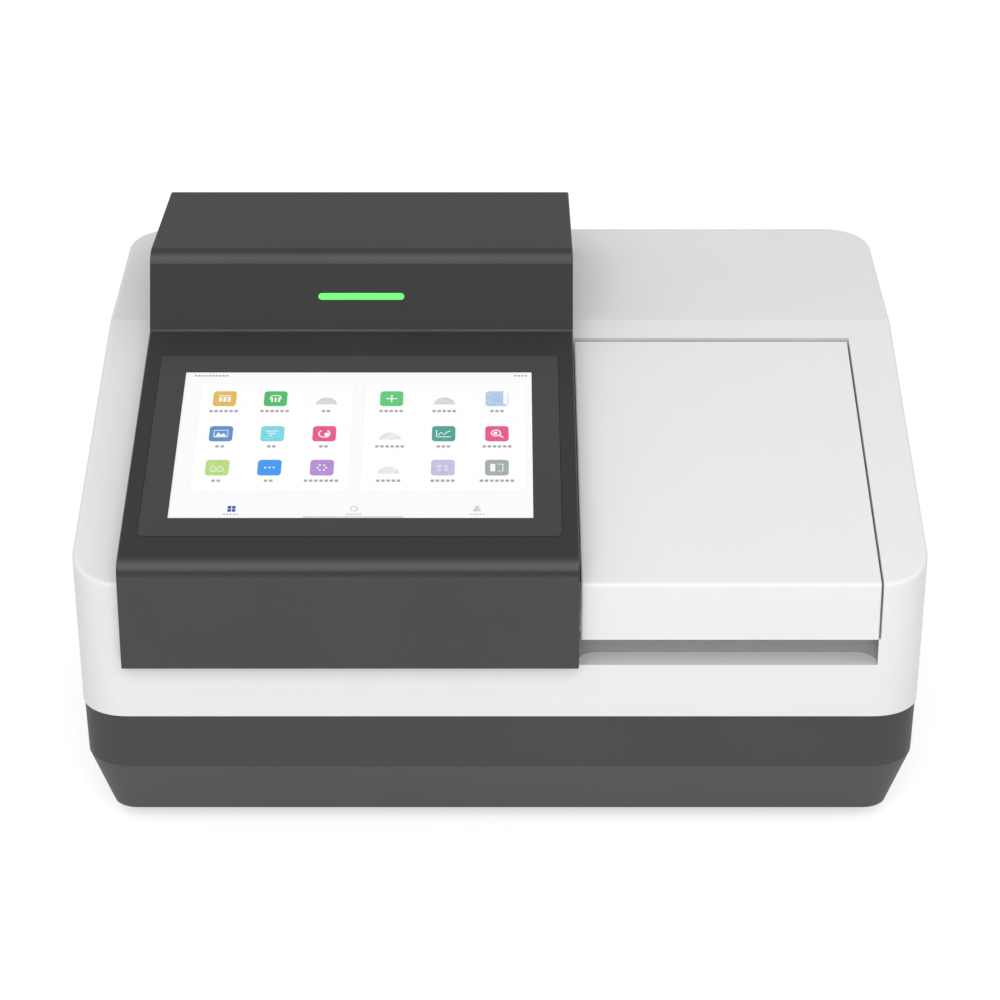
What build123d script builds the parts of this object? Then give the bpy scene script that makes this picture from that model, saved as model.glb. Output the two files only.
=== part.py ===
from build123d import *
from math import asin, cos, degrees, pi, radians, sin, sqrt, tan
import os

# Bench-top spectrophotometer with a rotary cuvette changer under a hinged lid.
# Lengths are millimetres. X runs to the right, Y to the rear and Z up.
# The origin is the middle of the overall footprint, on the bench.

# Whole instrument
width = 510.0
depth = 392.0
front_crease_z = 167.4
console_top_z = 300.0

# Base tray and feet
foot_height = 9.0
foot_radius = 14.0
foot_inset = 34.0
foot_seat = 3.0
post_radius = 8.0
joint_z = 80.0
base_crease_z = 45.0
base_wall = 3.5
base_floor = 3.0
base_step = 0.7
base_draft = 0.8
base_undercut = 13.7
base_low_corner = 16.0
shadow_gap = 0.8
shadow_depth = 1.6
lip_height = 4.0
lip_thickness = 2.0
lip_gap = 0.3

# White upper housing
shell_wall = 3.0
shell_draft = 1.3
plan_corner = 30.0
slope_angle = 18.6
slope_length = 250.0
hood_angle = 6.4
top_round = 3.0

# Console cover
console_margin = 30.8
console_proud = 10.0
console_bottom_z = 117.0
console_rise = 18.2
screen_length = 220.0
steep_angle = 66.6
console_rear_setback = 31.0
console_wall = 3.0
fold_radius = 12.0
crest_radius = 12.0
crease_radius = 2.0
console_rear_radius = 5.0
console_edge = 1.2

# Touch screen and status light
glass_side = 10.1
glass_low = 26.4
glass_high = 25.6
glass_thickness = 1.8
glass_corner = 3.0
glass_gap = 0.25
glass_proud = 0.2
border_side = 16.85
border_low = 15.8
border_high = 16.6
lcd_border = 5.0
lcd_gap = 0.3
lcd_thickness = 4.0
bracket_sheet = 1.5
bracket_frame = 25.0
display_board_length = 120.0
display_board_width = 80.0
display_board_standoff = 3.0
status_board_height = 18.0
status_board_end = 6.0
board_thickness = 1.6
board_post = 5.0
board_post_inset = 8.0
large_chip = 28.0
large_chip_height = 3.0
small_chip = 14.0
small_chip_height = 2.0
light_width = 54.9
light_height = 4.3
light_up = 22.1
light_depth = 5.0
light_proud = 0.2

# Sample lid and its opening
lid_gap = 1.3
lid_margin = 29.0
lid_width = 176.7
lid_length = 227.1
lid_rear_gap = 4.1
lid_sheet = 3.0
lid_flange_depth = 8.0
lid_flange = 2.5
lid_round = 1.0
skirt_height = 36.3
liner_margin = 6.0
recess_depth = 16.5
recess_drop = 16.7
recess_corner = 11.0
rim_depth = 13.0
rim_sheet = 3.0
return_wall = 2.5

# Lid hinge
hinge_back = 5.1
hinge_below = 7.0
hinge_pin_radius = 2.0
hinge_hub_radius = 3.6
hinge_lug_width = 10.0
hinge_lug_inset = 28.0
hinge_ear = 3.0
hinge_side_gap = 0.4
hinge_foot = 1.5
running_gap = 0.05

# Chassis plate and sample chamber
chassis_sheet = 4.0
chassis_margin = 8.0
tub_wall = 2.5
tub_floor = 3.0
cable_hole_inset = 60.0
cable_hole_x = 43.0
cable_hole_y = 80.0
cable_hole_back = 56.0
chamber_side = 9.35
chamber_front_gap = 7.5
chamber_rear_room = 31.23
gasket_width = 3.5
gasket_margin = 1.5
gasket_gap = 0.3

# Carousel
stations = 12
carousel_gap = 8.25
cuvette_side = 12.5
cuvette_height = 45.0
cuvette_wall = 1.25
cuvette_clearance = 0.1
cap_side = 13.6
cap_height = 4.0
cap_plug = 3.0
cap_edge = 0.8
block_rim = 4.5
block_height = 32.0
pocket_floor = 6.0
beam_above_pocket = 15.0
window_width = 5.0
window_height = 15.0
gear_module = 2.0
gear_face = 6.0
pinion_teeth = 15
gear_backlash = 0.3
mesh_angle = 48.0
bearing_gap = 0.3
journal_radius = 18.0
hub_radius = 26.0
hub_height = 9.0
post_flange_radius = 28.0
post_flange = 3.0
collar_height = 3.0
web_holes = 6
web_hole_radius = 7.0
detector_side = 26.0
detector_height = 24.0
detector_post_radius = 8.0
aperture_radius = 4.0
aperture_depth = 8.0

# Sample drive motor
motor_side = 42.3
motor_length = 40.0
motor_chamfer = 4.0
motor_boss_radius = 11.0
motor_boss = 2.0
shaft_radius = 2.5
pinion_hub_radius = 7.0
pinion_hub_drop = 2.0

# Home sensor
sensor_angle = 225.0
flag_reach = 6.0
flag_width = 6.0
flag_thickness = 1.2
sensor_width = 10.0
sensor_gap = 0.8
sensor_jaw = 1.6
sensor_body = 8.0

# Monochromator
mono_length = 166.0
mono_front_room = 45.0
mono_rear_room = 5.0
mono_height = 66.0
mono_wall = 5.0
mono_cover = 3.0
arm_spacing = 104.0
slit_radius = 6.0
slit_plate = 1.5
slit_height = 8.0
slit_width = 1.0
mirror_radius = 16.0
mirror_thickness = 8.0
mirror_curve = 220.0
mirror_back = 12.0
mirror_hollow = 1.2
holder_sheet = 4.0
holder_foot = 12.0
grating_side = 30.0
grating_thickness = 6.0
grating_back = 40.0
turret_radius = 16.0
turret_base = 5.0
turret_gap = 0.4
turret_back = 5.0
turret_shaft_radius = 3.0
grating_motor_side = 35.0
grating_motor_length = 30.0

# Beam path to the sample chamber
tube_length = 20.85
tube_radius = 9.0
tube_wall = 1.5
window_glass = 2.0

# Filter wheel
wheel_radius = 25.0
wheel_thickness = 3.0
wheel_gap = 3.0
filter_circle = 17.0
filter_radius = 5.0
filter_count = 6
filter_thickness = 2.0
filter_motor_radius = 9.0
filter_motor_length = 14.0
filter_shaft_radius = 1.5
filter_bracket = 3.0

# Lamp house
lamp_setback = 30.0
lamp_width = 60.0
lamp_gap = 3.0
lamp_depth = 68.0
lamp_height = 72.0
lamp_wall = 2.0
lamp_port_radius = 7.0
bulb_radius = 6.0
bulb_height = 34.0
socket_side = 18.0
socket_height = 20.0
deuterium_radius = 14.0
deuterium_height = 50.0
deuterium_base_radius = 17.0
deuterium_base_height = 12.0
combiner_in = 20.0
deuterium_back = 30.0
tungsten_in = 42.0
combiner_width = 16.0
combiner_height = 14.0
combiner_thickness = 2.0
combiner_post_radius = 3.0

# Electronics in the tray
supply_length = 150.0
supply_width = 92.0
supply_height = 46.0
supply_standoff = 4.0
supply_side_gap = 6.0
supply_gap = 5.0
board_gap = 27.0
board_length = 190.0
board_width = 130.0
board_standoff = 6.0
board_header_width = 12.0
board_header_height = 11.0
board_header_end = 30.0
capacitors = 3
capacitor_radius = 6.0
capacitor_height = 14.0
capacitor_pitch = 22.0
main_board_length = 120.0
main_board_gap = 2.0

# Rear panel, its sockets and the fan
panel_side = 60.0
panel_height = 84.0
panel_low_z = 92.0
panel_sheet = 2.0
panel_lap = 5.0
panel_opening_corner = 4.0
inlet_inset = 45.0
inlet_z = 118.0
inlet_width = 27.6
inlet_height = 20.0
inlet_flange = 2.5
inlet_flange_width = 49.0
inlet_flange_height = 25.0
inlet_depth = 22.0
inlet_wall = 1.8
inlet_floor = 5.0
inlet_pin_width = 2.0
inlet_pin_height = 4.0
inlet_pin_length = 14.0
inlet_pin_spacing = 14.0
inlet_pin_offset = 2.0
switch_step = 50.0
switch_width = 13.0
switch_height = 19.0
switch_wall = 1.6
switch_flange = 2.0
switch_depth = 14.0
rocker_side_gap = 0.35
rocker_end_gap = 0.9
rocker_tilt = 10.0
rocker_dip = 2.2
rocker_belly = 4.0
rocker_pin_radius = 1.2
rocker_pin_below = 2.0
port_z = 118.0
usb_width = 13.2
usb_height = 5.8
usb_depth = 14.0
usb_wall = 0.5
lan_width = 16.0
lan_height = 13.5
lan_depth = 18.0
lan_wall = 1.8
serial_width = 31.0
serial_height = 12.5
serial_shell_width = 17.0
serial_shell_height = 8.4
serial_depth = 8.0
port_lip = 1.0
fan_inset = 61.0
fan_z = 134.0
fan_side = 60.0
fan_depth = 20.0
fan_wall = 1.5
fan_corner = 4.0
fan_hub_radius = 12.0
fan_blades = 7
fan_blade_sheet = 1.6
fan_blade_pitch = 38.0
fan_tip_gap = 0.8
fan_shaft_radius = 1.5
vent_slots = 7
vent_pitch = 7.0
vent_slot = 3.4
floor_vent_start = 60.0
floor_vent_length = 90.0

# Places that follow from the sizes above
shell_front = -depth / 2 + console_proud
shell_rear = depth / 2
half_width = width / 2
mid_y = (shell_front + shell_rear) / 2
shell_depth = shell_rear - shell_front
console_front = -depth / 2
console_left = -half_width + console_margin
console_right = half_width - lid_margin - 2 * lid_gap - lid_width
console_width = console_right - console_left
console_centre_x = (console_left + console_right) / 2
glass_width = console_width - 2 * glass_side
glass_length = screen_length - glass_low - glass_high
display_width = glass_width - 2 * border_side
display_length = glass_length - border_low - border_high
display_low = glass_low + border_low
slope_cos = cos(radians(slope_angle))
slope_sin = sin(radians(slope_angle))
opening_left = console_right
lid_left = console_right + lid_gap
lid_right = lid_left + lid_width
opening_right = lid_right + lid_gap
opening_rear = lid_length + lid_rear_gap
skirt_z = front_crease_z - skirt_height
recess_z = skirt_z - recess_drop
recess_y = shell_front + recess_depth
hinge_s = lid_length - hinge_back
chassis_z = joint_z + lip_height
chassis_top = chassis_z + chassis_sheet
chamber_x = (opening_left + opening_right) / 2
chamber_left = lid_left + chamber_side
chamber_right = lid_right - chamber_side
chamber_front = recess_y + chamber_front_gap
chamber_rear = shell_front + lid_length * slope_cos - chamber_rear_room
chamber_y = (chamber_front + chamber_rear) / 2
chamber_half = min(chamber_right - chamber_left, chamber_rear - chamber_front) / 2
cuvette_pitch_radius = chamber_half - carousel_gap - block_rim - cuvette_side / 2
tub_floor_top = chassis_top + tub_floor
gear_teeth = round(2 * cuvette_pitch_radius / gear_module)
gear_radius = gear_teeth * gear_module / 2
pinion_radius = pinion_teeth * gear_module / 2
gear_low = tub_floor_top + post_flange + bearing_gap + 1.0
gear_top = gear_low + gear_face
cuvette_low = gear_top + pocket_floor
beam_z = cuvette_low + beam_above_pocket
mesh_distance = gear_radius + pinion_radius
motor_x = chamber_x + mesh_distance * cos(radians(mesh_angle))
motor_y = chamber_y + mesh_distance * sin(radians(mesh_angle))
lamp_front = chamber_rear + tub_wall + lamp_gap
entry_y = chamber_y + arm_spacing
grating_y = chamber_y + arm_spacing / 2
mono_right = chamber_left - tub_wall - tube_length
mono_left = mono_right - mono_length
mono_front = chamber_y - mirror_radius - mono_wall - mono_front_room
mono_rear = entry_y + mirror_radius + mono_wall + mono_rear_room
grating_x = mono_right - grating_back
lamp_left = mono_right + lamp_setback
lamp_right = lamp_left + lamp_width
deuterium_x = lamp_left + combiner_in
tungsten_x = lamp_left + tungsten_in
tray_inside = half_width - shell_draft - base_step - base_draft - base_undercut - base_wall
supply_left = -tray_inside + supply_side_gap
supply_right = supply_left + supply_width
panel_y = shell_rear - shell_wall - panel_sheet
panel_width = width - 2 * panel_side
inlet_x = -panel_width / 2 + inlet_inset
switch_x = inlet_x + switch_step
fan_x = panel_width / 2 - fan_inset
port_row = (usb_width, usb_width, lan_width, serial_width)
port_start = switch_x + switch_width / 2 + switch_flange
port_gap = (fan_x - fan_side / 2 - port_start - sum(port_row)) / (len(port_row) + 1)
port_x = [port_start + port_gap * (i + 1) + sum(port_row[:i]) + w / 2 for i, w in enumerate(port_row)]
usb_x = port_x[:2]
lan_x = port_x[2]
serial_x = port_x[3]


def block(x0, x1, y0, y1, z0, z1):
    """Block between two opposite corners."""
    place = Pos((x0 + x1) / 2, (y0 + y1) / 2, (z0 + z1) / 2)
    return place * Box(x1 - x0, y1 - y0, z1 - z0)


def upright(x, y, z, radius, length):
    """Round bar that stands on a point."""
    return Pos(x, y, z + length / 2) * Cylinder(radius, length)


def across(x, y, z, radius, length):
    """Round bar along X from a point."""
    return Pos(x + length / 2, y, z) * Rot(0, 90, 0) * Cylinder(radius, length)


def rearward(x, y, z, radius, length):
    """Round bar along Y from a point."""
    return Pos(x, y + length / 2, z) * Rot(-90, 0, 0) * Cylinder(radius, length)


def side_form(points, x0, x1, radii=None):
    """Closed side view in Y and Z, drawn out along X, with a radius for each corner."""
    line = FilletPolyline(*points, radius=radii or [0] * len(points), close=True)
    return extrude(Plane.YZ.offset(x0) * make_face(line), amount=x1 - x0)


def slope_plane(x=0.0, s=0.0, n=0.0):
    """Plane of the sloping top, with X across, Y up the slope and Z out of it."""
    y = shell_front + s * slope_cos - n * slope_sin
    z = front_crease_z + s * slope_sin + n * slope_cos
    return Plane(origin=(x, y, z), x_dir=(1, 0, 0), z_dir=(0, -slope_sin, slope_cos))


def slope_point(s, n):
    """Y and Z of a point s up the slope and n out of it."""
    origin = slope_plane(0, s, n).origin
    return (origin.Y, origin.Z)


def slope_block(x0, x1, s0, s1, n0, n1):
    """Block that lies square to the sloping top."""
    return slope_plane() * block(x0, x1, s0, s1, n0, n1)


def slope_height(y, n):
    """Height of the plane n out of the slope, above a given Y."""
    return front_crease_z + (y - shell_front) * slope_sin / slope_cos + n / slope_cos


def slope_reach(y, n):
    """Distance up the slope at which the plane n out of it stands over a given Y."""
    return (y - shell_front + n * slope_sin) / slope_cos


def rounded(x_size, y_size, radius, x=0.0, y=0.0):
    """Rounded rectangle in plan."""
    return Pos(x, y) * RectangleRounded(x_size, y_size, radius)


def plan_prism(inset, z0, z1):
    """Rounded plan of the housing as a solid, narrower at the joint than at the crease."""
    long = shell_depth - 2 * inset
    corner = plan_corner - inset
    low = rounded(width - 2 * (shell_draft + inset), long, corner, y=mid_y)
    high = rounded(width - 2 * inset, long, corner, y=mid_y)
    drafted = loft([Pos(0, 0, joint_z) * low, Pos(0, 0, front_crease_z) * high])
    body = drafted + extrude(Pos(0, 0, front_crease_z) * high, amount=z1 - front_crease_z)
    if z0 < joint_z:
        body += extrude(Pos(0, 0, z0) * low, amount=joint_z - z0)
    return body


def hood_points(inset):
    """Crease between slope and hood, and the hood's rear end, as Y and Z."""
    half_turn = radians((slope_angle - hood_angle) / 2)
    crease = slope_point(slope_length - inset * tan(half_turn), -inset)
    rear = shell_rear + 5.0
    return crease, (rear, crease[1] + (rear - crease[0]) * tan(radians(hood_angle)))


def housing_form(inset, z0):
    """Outer form of the white housing, or the same form drawn in by a wall."""
    crease, rear = hood_points(inset)
    start = shell_front - 5.0
    profile = [(start, z0), (start, slope_height(start, -inset)), crease, rear, (rear[0], z0)]
    top = max(rear[1], crease[1]) + 5.0
    body = side_form(profile, -half_width, half_width) & plan_prism(inset, z0, top)
    if inset == 0:
        body = fillet(top_edges(body), top_round)
    return body


def top_edges(body):
    """Edges between the top faces and the walls."""
    faces = [f for f in body.faces() if 0.5 < f.normal_at().Z < 0.9999]
    edges = []
    for face in faces:
        for edge in face.edges():
            if not any(edge.is_same(e) for other in faces if other is not face for e in other.edges()):
                edges.append(edge)
    return edges


# Base tray, feet and chassis plate


def tray_form(inset):
    """Outer form of the base tray, or the same form drawn in by a wall."""
    top_width = width - 2 * (shell_draft + base_step)
    top_length = shell_depth - 2 * base_step
    sections = []
    for z, draw, corner in (
        (joint_z, 0, plan_corner),
        (base_crease_z, base_draft, plan_corner),
        (foot_height, base_draft + base_undercut, base_low_corner),
    ):
        shrink = 2 * (draw + inset)
        outline = rounded(top_width - shrink, top_length - shrink, max(corner - inset, 2), y=mid_y)
        sections.append(Pos(0, 0, z) * outline)
    return loft(sections[:2]) + loft(sections[1:])


def tray_outline(z0, z1, inset):
    """Upright ring outline that follows the top of the tray."""
    top_width = width - 2 * (shell_draft + base_step + inset)
    top_length = shell_depth - 2 * (base_step + inset)
    outline = rounded(top_width, top_length, plan_corner - inset, y=mid_y)
    return extrude(Pos(0, 0, z0) * outline, amount=z1 - z0)


def foot_places():
    """Centres of the four feet."""
    x = half_width - base_undercut - foot_inset
    y = shell_depth / 2 - base_undercut - foot_inset
    return [(sx * x, mid_y + sy * y) for sx in (-1, 1) for sy in (-1, 1)]


def post_places():
    """Centres of the posts that carry the chassis plate."""
    (x, y) = foot_places()[-1]
    return [(sx * x, mid_y + sy * (y - mid_y)) for sx in (-1, 0, 1) for sy in (-1, 1)]


def base_tray():
    """Dark moulded tray with a locating lip, chassis posts and floor vents."""
    inner = tray_form(base_wall) & block(
        -width, width, -depth, depth, foot_height + base_floor, joint_z + 1
    )
    body = tray_form(0) - inner
    rebate = tray_outline(joint_z - shadow_gap, joint_z + 1, -2)
    body -= rebate - tray_outline(joint_z - 2 * shadow_gap, joint_z + 2, shadow_depth)
    lip_inset = shell_wall - base_step + lip_gap
    lip = tray_outline(joint_z - lip_height, chassis_z, lip_inset)
    lip -= tray_outline(joint_z - 2 * lip_height, joint_z + 2 * lip_height, lip_inset + lip_thickness)
    body += lip
    for x, y in post_places():
        low = foot_height + base_floor / 2
        body += upright(x, y, low, post_radius, chassis_z - low)
    for x, y in foot_places():
        body -= upright(x, y, foot_height - 1, foot_radius - 3, foot_seat)
    for i in range(vent_slots):
        y = mid_y + (i - (vent_slots - 1) / 2) * 2 * vent_pitch
        body -= block(
            floor_vent_start, floor_vent_start + floor_vent_length, y - vent_slot / 2, y + vent_slot / 2,
            foot_height - 1, foot_height + base_floor + 1,
        )
    return body


def feet():
    """Rubber feet, each with a spigot that seats in the tray floor."""
    body = Part()
    for x, y in foot_places():
        foot = upright(x, y, 0, foot_radius, foot_height)
        foot = chamfer(foot.edges().group_by(Axis.Z)[0], 1.2)
        body += foot + upright(x, y, foot_height, foot_radius - 3, foot_seat - 1)
    return body


def chassis_outline(z0, z1):
    """Plate outline inside the tray's lip."""
    inset = base_wall + lip_thickness + chassis_margin
    return tray_outline(z0, z1, inset)


def chassis_plate():
    """Plate on the tray's posts that carries the optics, the chamber and the drives."""
    plate = chassis_outline(chassis_z, chassis_top)
    plate -= upright(motor_x, motor_y, chassis_z - 1, motor_boss_radius + 0.2, chassis_sheet + 2)
    plate -= upright(grating_x, grating_y, chassis_z - 1, turret_shaft_radius + 1, chassis_sheet + 2)
    x = -half_width + cable_hole_inset
    y = shell_rear - cable_hole_back
    return plate - block(x, x + cable_hole_x, y - cable_hole_y, y, chassis_z - 1, chassis_top + 1)


# White upper housing


def chamber_surround():
    """Walls of the opening and of the finger recess, before they are hollowed."""
    outer_left = opening_left - return_wall
    outer_right = opening_right + return_wall
    ring = slope_block(
        outer_left,
        outer_right,
        slope_reach(recess_y, 0),
        opening_rear + return_wall,
        -rim_depth - rim_sheet - 1,
        -shell_wall / 2,
    )
    high = slope_height(recess_y + return_wall, -shell_wall / 2)
    pocket = block(
        outer_left, outer_right, shell_front + 1, recess_y + return_wall, recess_z - return_wall, high
    )
    start = shell_front + 1
    under = [
        (start, recess_z - 50),
        (start, slope_height(start, -shell_wall / 2)),
        (recess_y + 60, slope_height(recess_y + 60, -shell_wall / 2)),
        (recess_y + 60, recess_z - 50),
    ]
    return ring + (pocket & side_form(under, outer_left - 1, outer_right + 1))


def recess_cut(right, z0, z1):
    """Space for the fingers, round at its inner corners."""
    body = block(opening_left, right, shell_front - 5, recess_y, z0, z1)
    edges = body.edges().filter_by(Axis.Z).group_by(Axis.Y)[-1]
    return fillet(edges, recess_corner)


def upper_housing():
    """White shell with its sloping top, hood, chamber opening and rear opening."""
    body = housing_form(0, joint_z) - housing_form(shell_wall, joint_z - 5)
    body += chamber_surround()
    body -= slope_block(opening_left, opening_right, -80, opening_rear, -rim_depth, 60)
    body -= slope_block(
        opening_left, opening_right, -80, opening_rear, -rim_depth - rim_sheet - 5, -rim_depth + 1
    ) & block(-width, width, recess_y + return_wall, depth, 0, 400)
    body -= recess_cut(opening_right, skirt_z, slope_height(recess_y, -rim_depth) + 5)
    body -= recess_cut(lid_right, recess_z, skirt_z + 0.01)
    body -= panel_opening(shell_rear - shell_wall - 1, shell_rear + 1)
    body -= cable_slot(shell_wall + 2)
    return body


def cable_slot(deep):
    """Hole under the console for the display's cables."""
    return slope_block(
        console_centre_x - 40, console_centre_x + 40, slope_length - 60, slope_length - 35, -deep, 1
    )


def panel_opening(y0, y1):
    """Window in the rear wall that shows the rear panel."""
    x = panel_width / 2 - panel_lap
    low = panel_low_z + panel_lap
    high = panel_low_z + panel_height - panel_lap
    body = block(-x, x, y0, y1, low, high)
    return fillet(body.edges().filter_by(Axis.Y), panel_opening_corner)


# Console


def screen_plane(s, n=0.0):
    """Plane of the screen, s up from the fold's own corner."""
    base = slope_reach(console_front, console_rise)
    return slope_plane(console_centre_x, base + s, console_rise + n)


def steep_plane(up, n=0.0):
    """Plane of the steep panel above the screen, up from the crease between them."""
    crease = screen_plane(screen_length).origin
    c, s = cos(radians(steep_angle)), sin(radians(steep_angle))
    y = crease.Y + up * c - n * s
    z = crease.Z + up * s + n * c
    return Plane(origin=(console_centre_x, y, z), x_dir=(1, 0, 0), z_dir=(0, -s, c))


def console_points(inset):
    """Console side view as Y and Z, drawn in from its outer faces by a wall."""
    turn_crease = radians(steep_angle - slope_angle) / 2
    front = console_front + inset
    fold = screen_plane(0, 0).origin
    crease = screen_plane(screen_length).origin
    rise = (console_top_z - crease.Z) / sin(radians(steep_angle))
    slip = inset * tan(turn_crease)
    fold_in = (front, fold.Z + inset * tan(radians(slope_angle)) - inset / slope_cos)
    crease_in = screen_plane(screen_length + slip, -inset).origin
    crest = steep_plane(rise - inset * tan(radians(steep_angle) / 2), -inset).origin
    rear = shell_rear - console_rear_setback - inset
    return [
        (front, console_bottom_z + inset),
        fold_in,
        (crease_in.Y, crease_in.Z),
        (crest.Y, console_top_z - inset),
        (rear, console_top_z - inset),
    ]


def console_form(inset, sink):
    """Console drawn out across its width, down to the white housing or sunk below it."""
    points = console_points(inset)
    crease, rear = hood_points(sink)
    end = points[-1][0]
    hood_end = (end, crease[1] + (end - crease[0]) * tan(radians(hood_angle)))
    front = shell_front + sink
    foot = [hood_end, crease, (front, slope_height(front, -sink)), (front, console_bottom_z + inset)]
    radii = [
        0,
        fold_radius - inset,
        crease_radius + inset,
        crest_radius - inset,
        console_rear_radius - inset,
        0,
        0,
        0,
        0,
    ]
    half = console_width / 2 - inset
    body = side_form(points + foot, console_centre_x - half, console_centre_x + half, radii)
    if inset == 0:
        sides = body.faces().filter_by(Axis.X)
        edges = [
            e for f in sides for e in f.edges() if e.center().Z > slope_height(e.center().Y, 2)
            and e.center().Y < shell_rear - console_rear_setback - 0.5
        ]
        body = fillet(edges, console_edge)
    return body


def glass_outline(grow, thick, n):
    """Touch glass, or its pocket, on the screen plane."""
    outline = RectangleRounded(glass_width + 2 * grow, glass_length + 2 * grow, glass_corner + grow)
    return extrude(screen_plane(glass_low + glass_length / 2, n) * outline, amount=thick)


def display_block(border, n0, n1):
    """Block behind the display area, wider than it by a border."""
    plane = screen_plane(display_low + display_length / 2)
    return plane * block(
        -display_width / 2 - border,
        display_width / 2 + border,
        -display_length / 2 - border,
        display_length / 2 + border,
        n0,
        n1,
    )


def light_slot(grow, n0, n1):
    """Round-ended bar on the steep panel, or the slot for it."""
    outline = SlotOverall(light_width + 2 * grow, light_height + 2 * grow)
    return extrude(steep_plane(light_up, n0) * outline, amount=n1 - n0)


def console_cover():
    """Dark cover with the fold, the screen plane, the crease and the steep panel."""
    body = console_form(0, 0) - console_form(console_wall, 8.0)
    body -= glass_outline(glass_gap, glass_thickness + 5, glass_proud - glass_thickness)
    body -= display_block(lcd_border, -console_wall - 5, 1)
    body -= light_slot(0, -console_wall - 2, 2)
    rear = shell_rear - console_rear_setback
    for i in range(vent_slots):
        x = console_centre_x + (i - (vent_slots - 1) / 2) * 2 * vent_pitch
        body -= block(
            x - vent_slot / 2, x + vent_slot / 2, rear - console_wall - 1, rear + 1,
            console_top_z - 26, console_top_z - 10,
        )
    return body


def touch_glass():
    """Touch glass, seated in the cover's pocket and a little proud of it."""
    return glass_outline(0, glass_thickness, glass_proud - glass_thickness)


def lcd_panel():
    """Display module behind the glass."""
    top = glass_proud - glass_thickness
    return display_block(lcd_border - lcd_gap, top - lcd_thickness, top)


def display_bracket():
    """Folded sheet tray that carries the display module off the housing's slope."""
    top = glass_proud - glass_thickness - lcd_thickness
    half_x = display_width / 2 + lcd_border
    half_y = display_length / 2 + lcd_border
    plane = screen_plane(display_low + display_length / 2)
    body = display_block(lcd_border, top - bracket_sheet, top)
    open_x, open_y = half_x - bracket_frame, half_y - bracket_frame
    body -= plane * block(-open_x, open_x, -open_y, open_y, top - 5, top + 1)
    for side in (-1, 1):
        x = side * (half_x - bracket_sheet / 2)
        body += plane * block(
            x - bracket_sheet / 2, x + bracket_sheet / 2, -half_y, half_y, -console_rise, top
        )
    return body


def display_board():
    """Driver board under the display module, on the housing's slope."""
    half_x, half_y = display_board_length / 2, display_board_width / 2
    low = display_board_standoff
    top = low + board_thickness
    board = block(-half_x, half_x, -half_y, half_y, low, top)
    for x in (-half_x + board_post_inset, half_x - board_post_inset):
        for y in (-half_y + board_post_inset, half_y - board_post_inset):
            board += upright(x, y, 0, board_post / 2, low)
    board += chip(0, 0, top, large_chip, large_chip_height)
    board += chip(half_x / 2, 0, top, small_chip, small_chip_height)
    return screen_plane(display_low + display_length / 2, -console_rise) * board


def chip(x, y, z, side, height):
    """Square chip flat on a board."""
    return block(x - side / 2, x + side / 2, y - side / 2, y + side / 2, z, z + height)


def status_light():
    """Light bar in the steep panel."""
    return light_slot(0, -light_depth, light_proud)


def status_board():
    """Small board that carries the light bar's lamps."""
    half_x, half_y = light_width / 2 + status_board_end, status_board_height / 2
    board = block(-half_x, half_x, -half_y, half_y, -board_thickness, 0)
    for x in (-half_x + board_post / 2, half_x - board_post / 2):
        board += upright(x, 0, 0, board_post / 2, light_depth - console_wall)
    return steep_plane(light_up, -light_depth) * board


def main_board():
    """Main computer board, upright in the hood of the console."""
    y = shell_rear - console_rear_setback - console_wall - board_standoff
    crease, rear = hood_points(0)
    low = crease[1] + (y - crease[0]) * tan(radians(hood_angle)) + main_board_gap
    high = console_top_z - console_wall - main_board_gap
    half_x, half_y = main_board_length / 2, (high - low) / 2
    board = block(-half_x, half_x, -half_y, half_y, 0, board_thickness)
    for px in (-half_x + board_post, half_x - board_post):
        for py in (-half_y + board_post, half_y - board_post):
            board += upright(px, py, -board_standoff, board_post / 2, board_standoff)
    board += chip(0, 0, board_thickness, min(large_chip, 1.6 * half_y), large_chip_height)
    for px in (-half_x / 2, half_x / 2):
        board += chip(px, 0, board_thickness, small_chip, small_chip_height)
    plane = Plane(origin=(console_centre_x, y, (low + high) / 2), x_dir=(1, 0, 0), z_dir=(0, -1, 0))
    return plane * board


# Sample chamber


def sample_tub():
    """Open tub of the sample chamber, with a rim parallel to the lid."""
    outer = block(
        chamber_left - tub_wall,
        chamber_right + tub_wall,
        chamber_front - tub_wall,
        chamber_rear + tub_wall,
        chassis_top,
        front_crease_z + slope_length * slope_sin,
    )
    left, right = opening_left, opening_right
    front = recess_y + return_wall
    low = -rim_depth - rim_sheet
    rear_top = slope_point(opening_rear, -rim_depth)
    rear_low = slope_point(opening_rear, low)
    rim = side_form(
        [(front, slope_height(front, -rim_depth)), rear_top, rear_low, (front, slope_height(front, low))],
        left,
        right,
    )
    body = outer - slope_block(left - 20, right + 20, -80, opening_rear + 40, -rim_depth, 200)
    body += rim
    body -= block(chamber_left, chamber_right, chamber_front, chamber_rear, tub_floor_top, 400)
    body -= upright(motor_x, motor_y, chassis_top - 1, pinion_hub_radius + 1, tub_floor + 2)
    body -= across(chamber_left - tub_wall - 1, chamber_y, beam_z, tube_radius - tube_wall, tub_wall + 2)
    return body


def chamber_gasket():
    """Soft seal on the tub's rim, just under the lid's liner."""
    top = -lid_flange_depth - gasket_gap
    inner = gasket_margin
    outer = gasket_margin + gasket_width
    body = None
    for grow in (outer, inner):
        ring = slope_block(
            chamber_left - grow,
            chamber_right + grow,
            slope_reach(chamber_front, -rim_depth) - grow,
            slope_reach(chamber_rear, -rim_depth) + grow,
            -rim_depth,
            top,
        )
        body = ring if body is None else body - ring
    return body


# Lid and hinge


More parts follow.
